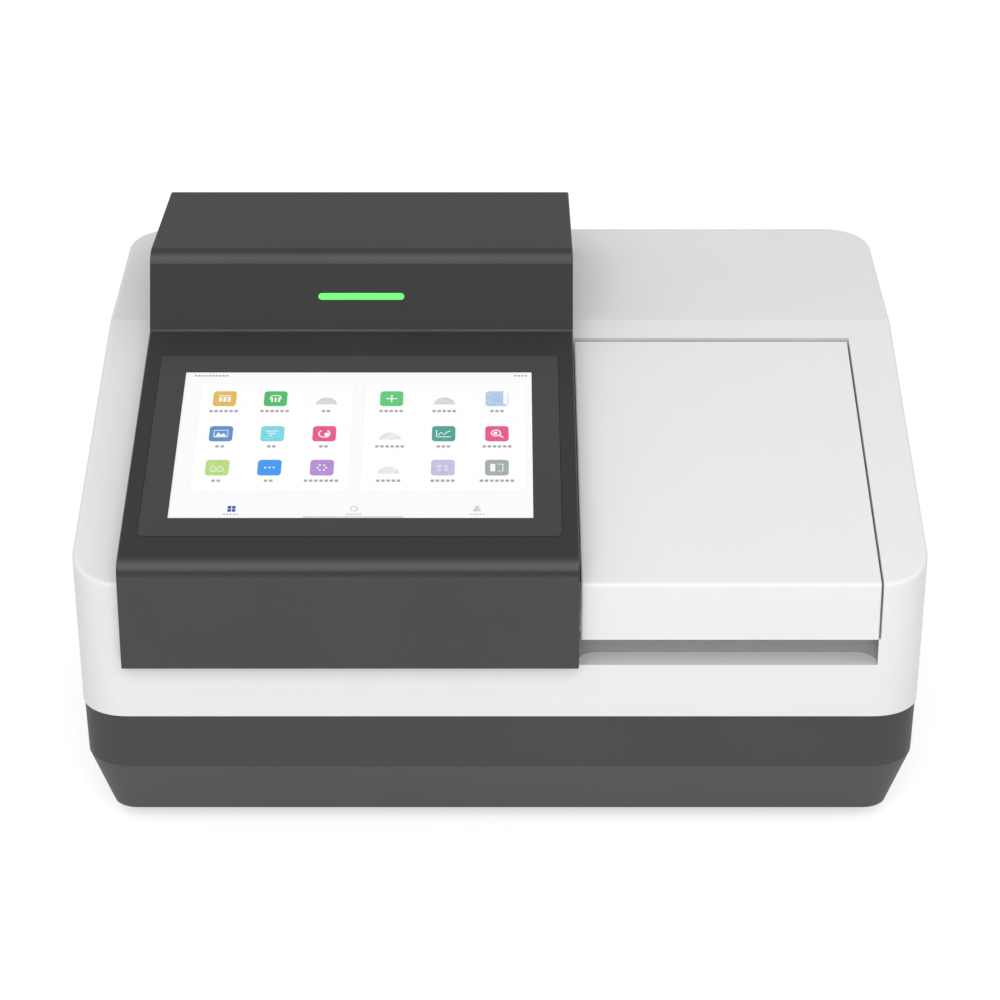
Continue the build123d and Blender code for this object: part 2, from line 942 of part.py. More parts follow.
def sample_lid():
    """White lid with its front skirt, side flanges and hinge lugs."""
    front = shell_front
    inner = front + lid_sheet
    rear_top = slope_point(lid_length, 0)
    rear_low = slope_point(lid_length, -lid_sheet)
    points = [
        (front, skirt_z),
        (front, front_crease_z),
        rear_top,
        rear_low,
        (inner, slope_height(inner, -lid_sheet)),
        (inner, skirt_z),
    ]
    body = side_form(points, lid_left, lid_right, [0, top_round, 0, 0, 0, 0])
    outer = [
        e
        for f in body.faces().filter_by(Axis.X)
        for e in f.edges()
        if e.center().Z > slope_height(e.center().Y, -0.9 * top_round) and e.center().Y < rear_low[0]
    ]
    body = fillet(outer, lid_round)
    for x in (lid_left, lid_right - lid_flange):
        body += slope_block(x, x + lid_flange, lid_sheet, hinge_s, -lid_flange_depth, -lid_sheet / 2)
    for x in lug_places():
        body += lug(x)
    return body


def lug_places():
    """Middle of each hinge lug."""
    return [lid_left + hinge_lug_inset, lid_right - hinge_lug_inset]


def slope_bar(x0, x1, s, n, radius):
    """Round bar along X at a place on the slope."""
    y, z = slope_point(s, n)
    return across(x0, y, z, radius, x1 - x0)


def lug(x):
    """Hinge lug under the lid, bored for its pin."""
    x0, x1 = x - hinge_lug_width / 2, x + hinge_lug_width / 2
    body = slope_block(
        x0, x1, hinge_s - hinge_hub_radius, hinge_s + hinge_hub_radius, -hinge_below, -lid_sheet / 2
    )
    body += slope_bar(x0, x1, hinge_s, -hinge_below, hinge_hub_radius)
    return body - slope_bar(x0 - 1, x1 + 1, hinge_s, -hinge_below, hinge_pin_radius + running_gap)


def lid_liner():
    """Dark liner that closes the chamber under the lid."""
    grow = liner_margin
    body = slope_block(
        chamber_left - grow,
        chamber_right + grow,
        slope_reach(chamber_front, -rim_depth) - grow,
        slope_reach(chamber_rear, -rim_depth) + grow,
        -lid_flange_depth,
        -lid_sheet,
    )
    return body


def hinge_brackets():
    """Two brackets on the tub's rim, each with a pair of ears."""
    body = Part()
    for x in lug_places():
        reach = hinge_lug_width / 2 + hinge_side_gap
        for side in (-1, 1):
            x0, x1 = sorted((x + side * reach, x + side * (reach + hinge_ear)))
            ear = slope_block(
                x0, x1, hinge_s - hinge_hub_radius, hinge_s + hinge_hub_radius, -rim_depth, -hinge_below
            )
            ear += slope_bar(x0, x1, hinge_s, -hinge_below, hinge_hub_radius)
            body += ear - slope_bar(x0 - 1, x1 + 1, hinge_s, -hinge_below, hinge_pin_radius)
        body += slope_block(
            x - reach - hinge_ear,
            x + reach + hinge_ear,
            hinge_s - 3 * hinge_hub_radius,
            hinge_s + hinge_hub_radius,
            -rim_depth,
            -rim_depth + hinge_foot,
        )
    return body


def hinge_pins():
    """Steel pins, held in the ears."""
    body = Part()
    for x in lug_places():
        reach = hinge_lug_width / 2 + hinge_side_gap + hinge_ear
        body += slope_bar(x - reach, x + reach, hinge_s, -hinge_below, hinge_pin_radius)
    return body


# Carousel


def involute_flank(teeth, steps):
    """Radius and half-angle of points on one flank, from the root to the tip."""
    pitch = teeth * gear_module / 2
    base = pitch * cos(radians(20))
    tip = pitch + 0.95 * gear_module
    root = pitch - 1.25 * gear_module
    half = pi / (2 * teeth) - gear_backlash / (2 * pitch)
    roll_pitch = tan(radians(20)) - radians(20)
    points = [(root, half + roll_pitch)]
    start = max(base, root)
    for i in range(steps):
        radius = start + (tip - start) * i / (steps - 1)
        pressure = sqrt(max((radius / base) ** 2 - 1, 0))
        involute = pressure - asin(min(sqrt(max(1 - (base / radius) ** 2, 0)), 1))
        points.append((radius, half + roll_pitch - involute))
    if base <= root:
        points.pop(0)
    return points


def spur_gear(teeth, tooth_at, z0, z1, steps):
    """Spur gear about the Z axis with one tooth centred at a given angle."""
    flank = involute_flank(teeth, steps)
    points = []
    for i in range(teeth):
        middle = radians(tooth_at) + 2 * pi * i / teeth
        for radius, angle in flank:
            points.append((radius * cos(middle - angle), radius * sin(middle - angle)))
        for radius, angle in reversed(flank):
            points.append((radius * cos(middle + angle), radius * sin(middle + angle)))
    outline = make_face(Polyline(*points, close=True))
    return extrude(Pos(0, 0, z0) * outline, amount=z1 - z0)


def carousel_gear():
    """Ring gear disc with its hub, web holes and home flag."""
    body = spur_gear(gear_teeth, mesh_angle, gear_low, gear_top, 3)
    body += upright(0, 0, gear_low - 1, hub_radius, hub_height)
    for i in range(web_holes):
        angle = 360 / web_holes * (i + 0.5)
        middle = (hub_radius + gear_radius) / 2 - 4
        body -= Rot(0, 0, angle) * upright(middle, 0, gear_low - 1, web_hole_radius, gear_face + 2)
    reach = gear_radius + flag_reach
    flag = block(
        gear_radius - 8, reach, -flag_width / 2, flag_width / 2, gear_low - flag_thickness, gear_low
    )
    body += Rot(0, 0, sensor_angle) * flag
    body -= upright(0, 0, gear_low - 5, journal_radius + running_gap, gear_face + hub_height)
    return Pos(chamber_x, chamber_y) * body


def station_angles():
    """Angle of each cuvette; one stands in the beam, to the left of the axis."""
    return [180 + 360 * i / stations for i in range(stations)]


def carousel_block():
    """Ring of square cuvette pockets with a window through each."""
    reach = cuvette_side / 2 + block_rim
    outer = sqrt((cuvette_pitch_radius + reach) ** 2 + 1)
    body = upright(0, 0, gear_top, outer, block_height)
    body -= upright(0, 0, gear_top - 1, cuvette_pitch_radius - reach, block_height + 2)
    body = chamfer(body.edges().filter_by(GeomType.CIRCLE).group_by(Axis.Z)[-1], 1.0)
    half = cuvette_side / 2 + cuvette_clearance
    r = cuvette_pitch_radius
    low = cuvette_low + beam_above_pocket - window_height / 2
    for angle in station_angles():
        pocket = block(r - half, r + half, -half, half, cuvette_low, gear_top + block_height + 1)
        pocket += block(r - 30, r + 30, -window_width / 2, window_width / 2, low, low + window_height)
        body -= Rot(0, 0, angle) * pocket
    return Pos(chamber_x, chamber_y) * body


def cuvettes():
    """Square glass cuvettes, hollow and open at the top."""
    half = cuvette_side / 2
    inner = half - cuvette_wall
    r = cuvette_pitch_radius
    one = block(r - half, r + half, -half, half, cuvette_low, cuvette_low + cuvette_height)
    one -= block(
        r - inner, r + inner, -inner, inner, cuvette_low + cuvette_wall, cuvette_low + cuvette_height + 1
    )
    body = Part() + [Rot(0, 0, angle) * one for angle in station_angles()]
    return Pos(chamber_x, chamber_y) * body


def cuvette_caps():
    """Push-in caps on the cuvettes."""
    half = cap_side / 2
    plug = cuvette_side / 2 - cuvette_wall - cuvette_clearance
    r = cuvette_pitch_radius
    z = cuvette_low + cuvette_height
    one = block(r - half, r + half, -half, half, z, z + cap_height)
    one = chamfer(one.edges().group_by(Axis.Z)[-1], cap_edge)
    one += block(r - plug, r + plug, -plug, plug, z - cap_plug, z)
    body = Part() + [Rot(0, 0, angle) * one for angle in station_angles()]
    return Pos(chamber_x, chamber_y) * body


def hub_post():
    """Fixed post with the journal that the carousel turns on."""
    body = upright(0, 0, tub_floor_top, post_flange_radius, post_flange)
    body += upright(0, 0, tub_floor_top, journal_radius, journal_top() - tub_floor_top)
    body += upright(0, 0, journal_top(), detector_post_radius, detector_low() - journal_top())
    return Pos(chamber_x, chamber_y) * body


def journal_top():
    """Top of the journal, just over the carousel's hub."""
    return gear_low - 1 + hub_height + bearing_gap


def detector_low():
    """Underside of the detector head."""
    return beam_z - detector_height / 2


def hub_collar():
    """Collar that keeps the carousel on its journal."""
    body = upright(0, 0, journal_top(), journal_radius + 4, collar_height)
    body -= upright(0, 0, journal_top() - 1, detector_post_radius, collar_height + 2)
    return Pos(chamber_x, chamber_y) * body


def detector_head():
    """Detector head in the middle of the carousel, facing the beam."""
    half = detector_side / 2
    low = detector_low()
    body = block(-half, half, -half, half, low, low + detector_height)
    body = chamfer(body.edges().filter_by(Axis.Z), 3)
    body -= across(-half - 1, 0, beam_z, aperture_radius, aperture_depth + 1)
    return Pos(chamber_x, chamber_y) * body


def drive_pinion():
    """Pinion in mesh with the ring gear, on a short hub."""
    body = spur_gear(
        pinion_teeth, mesh_angle + 180 + 180 / pinion_teeth, gear_low, gear_top, 4
    )
    body += upright(0, 0, gear_low - pinion_hub_drop, pinion_hub_radius, pinion_hub_drop)
    body -= upright(0, 0, gear_low - 5, shaft_radius, gear_face + 10)
    return Pos(motor_x, motor_y) * body


def drive_shaft():
    """Motor shaft, from the middle of the motor to the top of the pinion."""
    low = chassis_z - motor_length * 0.75
    return upright(motor_x, motor_y, low, shaft_radius, gear_top + 0.5 - low)


def drive_motor():
    """Square stepping motor hung under the chassis plate."""
    half = motor_side / 2
    body = block(-half, half, -half, half, chassis_z - motor_length, chassis_z)
    body = chamfer(body.edges().filter_by(Axis.Z), motor_chamfer)
    body += upright(0, 0, chassis_z, motor_boss_radius, motor_boss)
    bore = motor_length * 0.75
    body -= upright(0, 0, chassis_z - bore - bearing_gap, shaft_radius + running_gap, bore + 10)
    return Pos(motor_x, motor_y) * body


def home_sensor():
    """Forked sensor that the carousel's flag passes through once a turn."""
    inner = gear_radius + gear_module + 1
    reach = gear_radius + flag_reach
    low = gear_low - flag_thickness - sensor_gap
    high = gear_low + sensor_gap
    half = sensor_width / 2
    body = block(inner, reach + sensor_gap + sensor_body, -half, half, tub_floor_top, high + sensor_jaw)
    body -= block(inner - 1, reach + sensor_gap, -half - 1, half + 1, low, high)
    return Pos(chamber_x, chamber_y) * (Rot(0, 0, sensor_angle) * body)


# Monochromator and beam path


def mono_block(inset, z0, z1):
    """Monochromator outline drawn in by a wall."""
    return block(mono_left + inset, mono_right - inset, mono_front + inset, mono_rear - inset, z0, z1)


def monochromator_housing():
    """Cast box on the chassis plate, with both slits in its right wall."""
    top = chassis_top + mono_height
    body = mono_block(0, chassis_top, top)
    body = fillet(body.edges().filter_by(Axis.Z), mono_wall)
    body -= mono_block(mono_wall, chassis_top + mono_wall, top + 1)
    for y in (chamber_y, entry_y):
        body -= across(mono_right - mono_wall - 1, y, beam_z, slit_radius, mono_wall + 2)
    body -= upright(grating_x, grating_y, chassis_top - 1, turret_shaft_radius + 1, mono_wall + 2)
    return body


def monochromator_cover():
    """Flat cover of the monochromator."""
    top = chassis_top + mono_height
    body = mono_block(0, top, top + mono_cover)
    return fillet(body.edges().filter_by(Axis.Z), mono_wall)


def slit(y):
    """Thin disc with an upright slit, seated in the housing's wall."""
    body = across(mono_right - slit_plate, y, beam_z, slit_radius, slit_plate)
    return body - block(
        mono_right - slit_plate - 1,
        mono_right + 1,
        y - slit_width / 2,
        y + slit_width / 2,
        beam_z - slit_height / 2,
        beam_z + slit_height / 2,
    )


def concave_mirror(y):
    """Round mirror blank with a hollow face towards the slits."""
    x = mono_left + mono_wall + mirror_back
    body = across(x, y, beam_z, mirror_radius, mirror_thickness)
    return body - Pos(x + mirror_thickness - mirror_hollow + mirror_curve, y, beam_z) * Sphere(mirror_curve)


def mirror_holders():
    """Upright plates with feet that hold both mirrors."""
    x = mono_left + mono_wall + mirror_back
    floor = chassis_top + mono_wall
    body = Part()
    for y in (chamber_y, entry_y):
        y0, y1 = y - mirror_radius, y + mirror_radius
        body += block(x - holder_sheet, x, y0, y1, floor, beam_z + mirror_radius - holder_sheet)
        body += block(x, x + holder_foot, y0, y1, floor, floor + holder_sheet)
    return body


def grating_turret():
    """Turntable with its shaft and the upright that holds the grating."""
    floor = chassis_top + mono_wall
    low = floor + turret_gap
    half = grating_side / 2
    shaft_low = chassis_z - grating_motor_length * 0.75
    body = upright(0, 0, low, turret_radius, turret_base)
    body += upright(0, 0, shaft_low, turret_shaft_radius, low - shaft_low)
    body += block(0, turret_back, -half, half, low + turret_base, beam_z + half)
    return Pos(grating_x, grating_y) * body


def grating():
    """Ruled grating blank on the turret."""
    half = grating_side / 2
    x0 = grating_x - grating_thickness
    return block(x0, grating_x, grating_y - half, grating_y + half, beam_z - half, beam_z + half)


def grating_motor():
    """Small stepping motor under the chassis plate that turns the grating."""
    half = grating_motor_side / 2
    bore = grating_motor_length * 0.75
    body = block(-half, half, -half, half, chassis_z - grating_motor_length, chassis_z)
    body = chamfer(body.edges().filter_by(Axis.Z), motor_chamfer)
    body -= upright(0, 0, chassis_z - bore - bearing_gap, turret_shaft_radius + running_gap, bore + 1)
    return Pos(grating_x, grating_y) * body


def beam_tube():
    """Tube from the exit slit to the chamber wall."""
    length = chamber_left - tub_wall - mono_right
    body = across(mono_right, chamber_y, beam_z, tube_radius, length)
    return body - across(mono_right - 1, chamber_y, beam_z, tube_radius - tube_wall, length + 2)


def beam_window():
    """Round quartz window in the chamber wall."""
    x = chamber_left - tub_wall
    return across(x, chamber_y, beam_z, tube_radius - tube_wall, window_glass)


def wheel_y():
    """Axis of the filter wheel, beside the beam."""
    return entry_y + filter_circle


def filter_wheel():
    """Wheel with a ring of filter holes, on its shaft."""
    x = mono_right + wheel_gap
    body = across(x, 0, 0, wheel_radius, wheel_thickness)
    for i in range(filter_count):
        angle = radians(180 + 360 * i / filter_count)
        y, z = filter_circle * cos(angle), filter_circle * sin(angle)
        body -= across(x - 1, y, z, filter_radius, wheel_thickness + 2)
    reach = wheel_bracket_x() + filter_bracket + filter_motor_length * 0.6 - x
    body += across(x, 0, 0, filter_shaft_radius, reach)
    return Pos(0, wheel_y(), beam_z) * body


def wheel_bracket_x():
    """Front face of the bracket behind the filter wheel."""
    return mono_right + 2 * wheel_gap + wheel_thickness


def filters():
    """Filter glasses in the wheel."""
    x = mono_right + wheel_gap + (wheel_thickness - filter_thickness) / 2
    body = Part()
    for i in range(filter_count):
        angle = radians(180 + 360 * i / filter_count)
        y, z = filter_circle * cos(angle), filter_circle * sin(angle)
        body += across(x, y, z, filter_radius, filter_thickness)
    return Pos(0, wheel_y(), beam_z) * body


def filter_bracket_plate():
    """Upright plate with a foot that carries the filter motor."""
    x = wheel_bracket_x()
    half = filter_motor_radius + 3
    y = wheel_y()
    body = block(x, x + filter_bracket, y - half, y + half, chassis_top, beam_z + half)
    body += block(x, x + filter_motor_length, y - half, y + half, chassis_top, chassis_top + filter_bracket)
    return body - across(x - 1, y, beam_z, filter_shaft_radius + 0.5, filter_bracket + 2)


def filter_motor():
    """Small round motor that turns the filter wheel."""
    x = wheel_bracket_x() + filter_bracket
    bore = filter_motor_length * 0.6 + bearing_gap
    body = across(x, wheel_y(), beam_z, filter_motor_radius, filter_motor_length)
    return body - across(x - 1, wheel_y(), beam_z, filter_shaft_radius + running_gap, bore + 1)


# Lamps


def lamp_house():
    """Vented cover over both lamps, with a port towards the filter wheel."""
    top = chassis_top + lamp_height
    rear = lamp_front + lamp_depth
    body = block(lamp_left, lamp_right, lamp_front, rear, chassis_top, top)
    body -= block(
        lamp_left + lamp_wall, lamp_right - lamp_wall, lamp_front + lamp_wall, rear - lamp_wall,
        chassis_top - 1, top - lamp_wall,
    )
    body -= across(lamp_left - 1, entry_y, beam_z, lamp_port_radius, lamp_wall + 2)
    for i in range(vent_slots):
        y = (lamp_front + rear) / 2 + (i - (vent_slots - 1) / 2) * vent_pitch
        body -= block(
            lamp_left + 10, lamp_right - 10, y - vent_slot / 2, y + vent_slot / 2, top - lamp_wall - 1, top + 1
        )
    return body


def tungsten_lamp():
    """Halogen bulb in its ceramic socket."""
    half = socket_side / 2
    z = chassis_top + socket_height
    body = block(-half, half, -half, half, chassis_top, z)
    bulb = upright(0, 0, z, bulb_radius, bulb_height)
    bulb = fillet(bulb.edges().group_by(Axis.Z)[-1], bulb_radius - 0.5)
    return Pos(tungsten_x, entry_y) * (body + bulb)


def deuterium_lamp():
    """Deuterium lamp on its round base."""
    z = chassis_top + deuterium_base_height
    bulb = upright(0, 0, z, deuterium_radius, deuterium_height)
    bulb = fillet(bulb.edges().group_by(Axis.Z)[-1], deuterium_radius / 2)
    body = upright(0, 0, chassis_top, deuterium_base_radius, deuterium_base_height) + bulb
    return Pos(deuterium_x, entry_y + deuterium_back) * body


def beam_combiner():
    """Half-silvered plate that joins both lamps' beams, on its post."""
    half_w, half_h, half_t = combiner_width / 2, combiner_height / 2, combiner_thickness / 2
    plate = block(-half_w, half_w, -half_t, half_t, beam_z - half_h, beam_z + half_h)
    post = upright(0, 0, chassis_top, combiner_post_radius, beam_z - half_h - chassis_top)
    return Pos(deuterium_x, entry_y) * (Rot(0, 0, 45) * plate + post)


# Electronics in the tray


def power_supply():
    """Enclosed supply on standoffs, at the left of the tray."""
    x0, x1 = supply_left, supply_right
    y1 = post_places()[-1][1] - post_radius - supply_gap
    y0 = y1 - supply_length
    z0 = foot_height + base_floor + supply_standoff
    body = block(x0, x1, y0, y1, z0, z0 + supply_height)
    for x in (x0 + board_post_inset, x1 - board_post_inset):
        for y in (y0 + board_post_inset, y1 - board_post_inset):
            body += upright(x, y, foot_height + base_floor, board_post / 2, supply_standoff)
    for i in range(vent_slots):
        y = (y0 + y1) / 2 + (i - (vent_slots - 1) / 2) * 2 * vent_pitch
        body -= block(
            x0 + 15, x1 - 15, y - vent_slot / 2, y + vent_slot / 2, z0 + supply_height - 2,
            z0 + supply_height + 1,
        )
    return body


def control_board():
    """Drive and measuring board on standoffs over the tray floor."""
    half_x, half_y = board_length / 2, board_width / 2
    top = board_standoff + board_thickness
    body = block(-half_x, half_x, -half_y, half_y, board_standoff, top)
    for x in (-half_x + board_post_inset, half_x - board_post_inset):
        for y in (-half_y + board_post_inset, half_y - board_post_inset):
            body += upright(x, y, 0, board_post / 2, board_standoff)
    body += chip(0, 0, top, large_chip, large_chip_height)
    for x in (half_x / 3, 2 * half_x / 3):
        body += chip(x, -half_y / 2, top, small_chip, small_chip_height)
    x = -half_x + board_header_width
    y = half_y - board_header_end
    body += block(x, x + board_header_width, -y, y, top, top + board_header_height)
    for i in range(capacitors):
        x = (i - (capacitors - 1) / 2) * capacitor_pitch
        body += upright(x, half_y - 2.5 * capacitor_radius, top, capacitor_radius, capacitor_height)
    return Pos(supply_right + board_gap + half_x, mid_y, foot_height + base_floor) * body


# Rear panel, sockets, switch and fan


def rear_panel():
    """Sheet panel behind the housing's rear window, cut for what it carries."""
    half = panel_width / 2
    y0, y1 = panel_y - 1, panel_y + panel_sheet + 1
    body = block(-half, half, panel_y, panel_y + panel_sheet, panel_low_z, panel_low_z + panel_height)
    body -= upright_cut(inlet_x, inlet_z, inlet_width, inlet_height, y0, y1)
    body -= upright_cut(switch_x, port_z, switch_width, switch_height, y0, y1)
    for x in usb_x:
        body -= upright_cut(x, port_z, usb_width, usb_height, y0, y1)
    body -= upright_cut(lan_x, port_z, lan_width, lan_height, y0, y1)
    body -= upright_cut(serial_x, port_z, serial_shell_width, serial_shell_height, y0, y1)
    radius = fan_side / 2 - fan_wall
    for i in range(vent_slots):
        z = (i - (vent_slots - 1) / 2) * vent_pitch
        half_slot = sqrt(radius**2 - (abs(z) + vent_slot / 2) ** 2)
        body -= upright_cut(fan_x, fan_z + z, 2 * half_slot, vent_slot, y0, y1)
    return body


def upright_cut(x, z, x_size, z_size, y0, y1):
    """Block through an upright wall, centred at a place on it."""
    return block(x - x_size / 2, x + x_size / 2, y0, y1, z - z_size / 2, z + z_size / 2)


def mains_inlet():
    """Three-pin appliance inlet with its flange and open socket."""
    face = panel_y + panel_sheet
    out = face + inlet_flange
    back = face - inlet_depth
    body = upright_cut(inlet_x, inlet_z, inlet_flange_width, inlet_flange_height, face, out)
    body = chamfer(body.edges().filter_by(Axis.Y), 3)
    shell = upright_cut(inlet_x, inlet_z, inlet_width, inlet_height, back, face)
    cavity = upright_cut(
        inlet_x, inlet_z, inlet_width - 2 * inlet_wall, inlet_height - 2 * inlet_wall, back + inlet_floor, out + 1
    )
    corners = cavity.edges().filter_by(Axis.Y).group_by(Axis.Z)[-1]
    body = body + shell - chamfer(corners, 4)
    for x, z in pin_places():
        y0 = back + inlet_floor - 1
        body += upright_cut(x, z, inlet_pin_width, inlet_pin_height, y0, y0 + 1 + inlet_pin_length)
    return body


def pin_places():
    """Centres of the inlet's three pins."""
    low = inlet_z - inlet_pin_offset
    return [
        (inlet_x - inlet_pin_spacing / 2, low),
        (inlet_x + inlet_pin_spacing / 2, low),
        (inlet_x, low + inlet_pin_height),
    ]


def switch_frame():
    """Frame of the mains switch, bored for the rocker's pins."""
    face = panel_y + panel_sheet
    out = face + switch_flange
    back = face - switch_depth
    grow = 2 * switch_flange
    body = upright_cut(switch_x, port_z, switch_width + grow, switch_height + grow, face, out)
    body = chamfer(body.edges().group_by(Axis.Y)[-1], 0.6)
    body += upright_cut(switch_x, port_z, switch_width, switch_height, back, face)
    wall = 2 * switch_wall
    body -= upright_cut(
        switch_x, port_z, switch_width - wall, switch_height - wall, back + switch_wall, out + 1
    )
    half = switch_width / 2
    pin_y = face - rocker_pin_below
    return body - across(switch_x - half, pin_y, port_z, rocker_pin_radius + running_gap, 2 * half)


def power_rocker():
    """Rocker of the mains switch, at rest with one end pressed in."""
    half_z = switch_height / 2 - switch_wall - rocker_end_gap
    half_x = switch_width / 2 - switch_wall - rocker_side_gap
    lift = half_z * tan(radians(rocker_tilt))
    points = [
        (rocker_dip, 0),
        (rocker_dip + lift, half_z),
        (-rocker_belly / 2, half_z),
        (-rocker_belly, half_z / 3),
        (-rocker_belly, -half_z / 3),
        (-rocker_belly / 2, -half_z),
        (rocker_dip + lift, -half_z),
    ]
    body = side_form(points, -half_x, half_x)
    reach = switch_width / 2 - 0.1
    body += across(-reach, 0, 0, rocker_pin_radius, 2 * reach)
    pin_y = panel_y + panel_sheet - rocker_pin_below
    return Pos(switch_x, pin_y, port_z) * (Rot(-rocker_tilt, 0, 0) * body)


def usb_ports():
    """Pair of flat data sockets with their tongues."""
    face = panel_y + panel_sheet
    body = Part()
    for x in usb_x:
        one = upright_cut(x, port_z, usb_width, usb_height, face - usb_depth, face + port_lip)
        wall = 2 * usb_wall
        one -= upright_cut(
            x, port_z, usb_width - wall, usb_height - wall, face - usb_depth + 3, face + port_lip + 1
        )
        tongue_z = port_z + usb_height / 4
        one += upright_cut(x, tongue_z, usb_width - 2, usb_height / 4, face - usb_depth + 2, face - 1)
        body += one
    return body


def lan_port():
    """Network socket."""
    face = panel_y + panel_sheet
    body = upright_cut(lan_x, port_z, lan_width, lan_height, face - lan_depth, face + port_lip)
    wall = 2 * lan_wall
    body -= upright_cut(
        lan_x, port_z, lan_width - wall, lan_height - wall, face - lan_depth + lan_wall, face + port_lip + 1
    )
    body -= upright_cut(lan_x, port_z - lan_height / 2 + lan_wall, 5, lan_wall * 1.2, face - 8, face + 2)
    return body


def serial_port():
    """Nine-pin D-shaped connector on its flange."""
    face = panel_y + panel_sheet
    body = upright_cut(serial_x, port_z, serial_width, serial_height, face, face + port_lip)
    body = fillet(body.edges().filter_by(Axis.Y), 2)
    w, h = serial_shell_width / 2, serial_shell_height / 2
    taper = 1.5
    for grow, y0, y1 in ((0, face - serial_depth, face + 2.6), (-0.8, face - serial_depth + 2, face + 4)):
        outline = [(-w - grow, h + grow), (w + grow, h + grow), (w - taper + grow, -h - grow)]
        outline.append((-w + taper - grow, -h - grow))
        plane = Plane(origin=(serial_x, y0, port_z), x_dir=(1, 0, 0), z_dir=(0, -1, 0))
        shape = extrude(plane * make_face(Polyline(*outline, close=True)), amount=y0 - y1)
        body = body + shape if grow == 0 else body - shape
    for row, count in ((1.4, 5), (-1.4, 4)):
        for i in range(count):
            x = serial_x + (i - (count - 1) / 2) * 2.76
            body += upright_cut(x, port_z + row, 1, 1, face - serial_depth + 1, face + 1)
    return body


def fan_frame():
    """Square fan frame with its spider and motor seat."""
    y0, y1 = panel_y - fan_depth, panel_y
    body = upright_cut(fan_x, fan_z, fan_side, fan_side, y0, y1)
    body = fillet(body.edges().filter_by(Axis.Y), fan_corner)
    body -= rearward(fan_x, y0 - 1, fan_z, fan_side / 2 - fan_wall, fan_depth + 2)
    arm = block(-1.5, 1.5, y0, y0 + 3, 0, fan_side / 2 - fan_wall / 2)
    for angle in (45, 135, 225, 315):
        body += Pos(fan_x, 0, fan_z) * Rot(0, angle, 0) * arm
    body += rearward(fan_x, y0, fan_z, fan_hub_radius, 3)
    return body - rearward(fan_x, y0 - 1, fan_z, fan_shaft_radius + running_gap, 5)


def fan_rotor():
    """Fan hub, its shaft and the slanted blades."""
    y0 = panel_y - fan_depth + 3 + bearing_gap
    y1 = panel_y - 3
    tip = fan_side / 2 - fan_wall - fan_tip_gap
    body = rearward(0, y0, 0, fan_hub_radius, y1 - y0)
    body += rearward(0, y0 - 3, 0, fan_shaft_radius, 4)
    middle = (y0 + y1) / 2
    chord = (y1 - y0) * 0.95
    span = tip - fan_hub_radius + 2
    disc = rearward(0, y0, 0, tip, y1 - y0)
    for i in range(fan_blades):
        blade = Rot(0, 0, fan_blade_pitch) * Box(fan_blade_sheet, chord, span)
        blade = Pos(0, middle, fan_hub_radius - 2 + span / 2) * blade
        body += Rot(0, 360 * i / fan_blades, 0) * blade & disc
    return Pos(fan_x, 0, fan_z) * body


# Each node's name and its solid
nodes = {
    "base_tray": base_tray(),
    "feet": feet(),
    "chassis_plate": chassis_plate(),
    "upper_housing": upper_housing(),
    "console_cover": console_cover(),
    "touch_glass": touch_glass(),
    "lcd_panel": lcd_panel(),
    "display_bracket": display_bracket(),
    "display_board": display_board(),
    "status_light": status_light(),
    "status_board": status_board(),
    "main_board": main_board(),
    "sample_tub": sample_tub(),
    "chamber_gasket": chamber_gasket(),
    "sample_lid": sample_lid(),
    "lid_liner": lid_liner(),
    "hinge_brackets": hinge_brackets(),
    "hinge_pins": hinge_pins(),
    "carousel_gear": carousel_gear(),
    "carousel_block": carousel_block(),
    "cuvettes": cuvettes(),
    "cuvette_caps": cuvette_caps(),
    "hub_post": hub_post(),
    "hub_collar": hub_collar(),
    "detector_head": detector_head(),
    "drive_pinion": drive_pinion(),
    "drive_shaft": drive_shaft(),
    "drive_motor": drive_motor(),
    "home_sensor": home_sensor(),
    "monochromator_housing": monochromator_housing(),
    "monochromator_cover": monochromator_cover(),
    "entrance_slit": slit(entry_y),
    "exit_slit": slit(chamber_y),
    "collimating_mirror": concave_mirror(entry_y),
    "focusing_mirror": concave_mirror(chamber_y),
    "mirror_holders": mirror_holders(),
    "grating_turret": grating_turret(),
    "grating": grating(),
    "grating_motor": grating_motor(),
    "beam_tube": beam_tube(),
    "beam_window": beam_window(),
    "filter_wheel": filter_wheel(),
    "filters": filters(),
    "filter_bracket": filter_bracket_plate(),
    "filter_motor": filter_motor(),
    "lamp_house": lamp_house(),
    "tungsten_lamp": tungsten_lamp(),
    "deuterium_lamp": deuterium_lamp(),
    "beam_combiner": beam_combiner(),
    "power_supply": power_supply(),
    "control_board": control_board(),
    "rear_panel": rear_panel(),
    "mains_inlet": mains_inlet(),
    "switch_frame": switch_frame(),
    "power_rocker": power_rocker(),
    "usb_ports": usb_ports(),
    "lan_port": lan_port(),
    "serial_port": serial_port(),
    "fan_frame": fan_frame(),
    "fan_rotor": fan_rotor(),
}

os.makedirs("parts", exist_ok=True)
for name, solid in nodes.items():
    export_step(solid, f"parts/{name}.step")
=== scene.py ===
import math

import bpy
from mathutils import Matrix, Vector


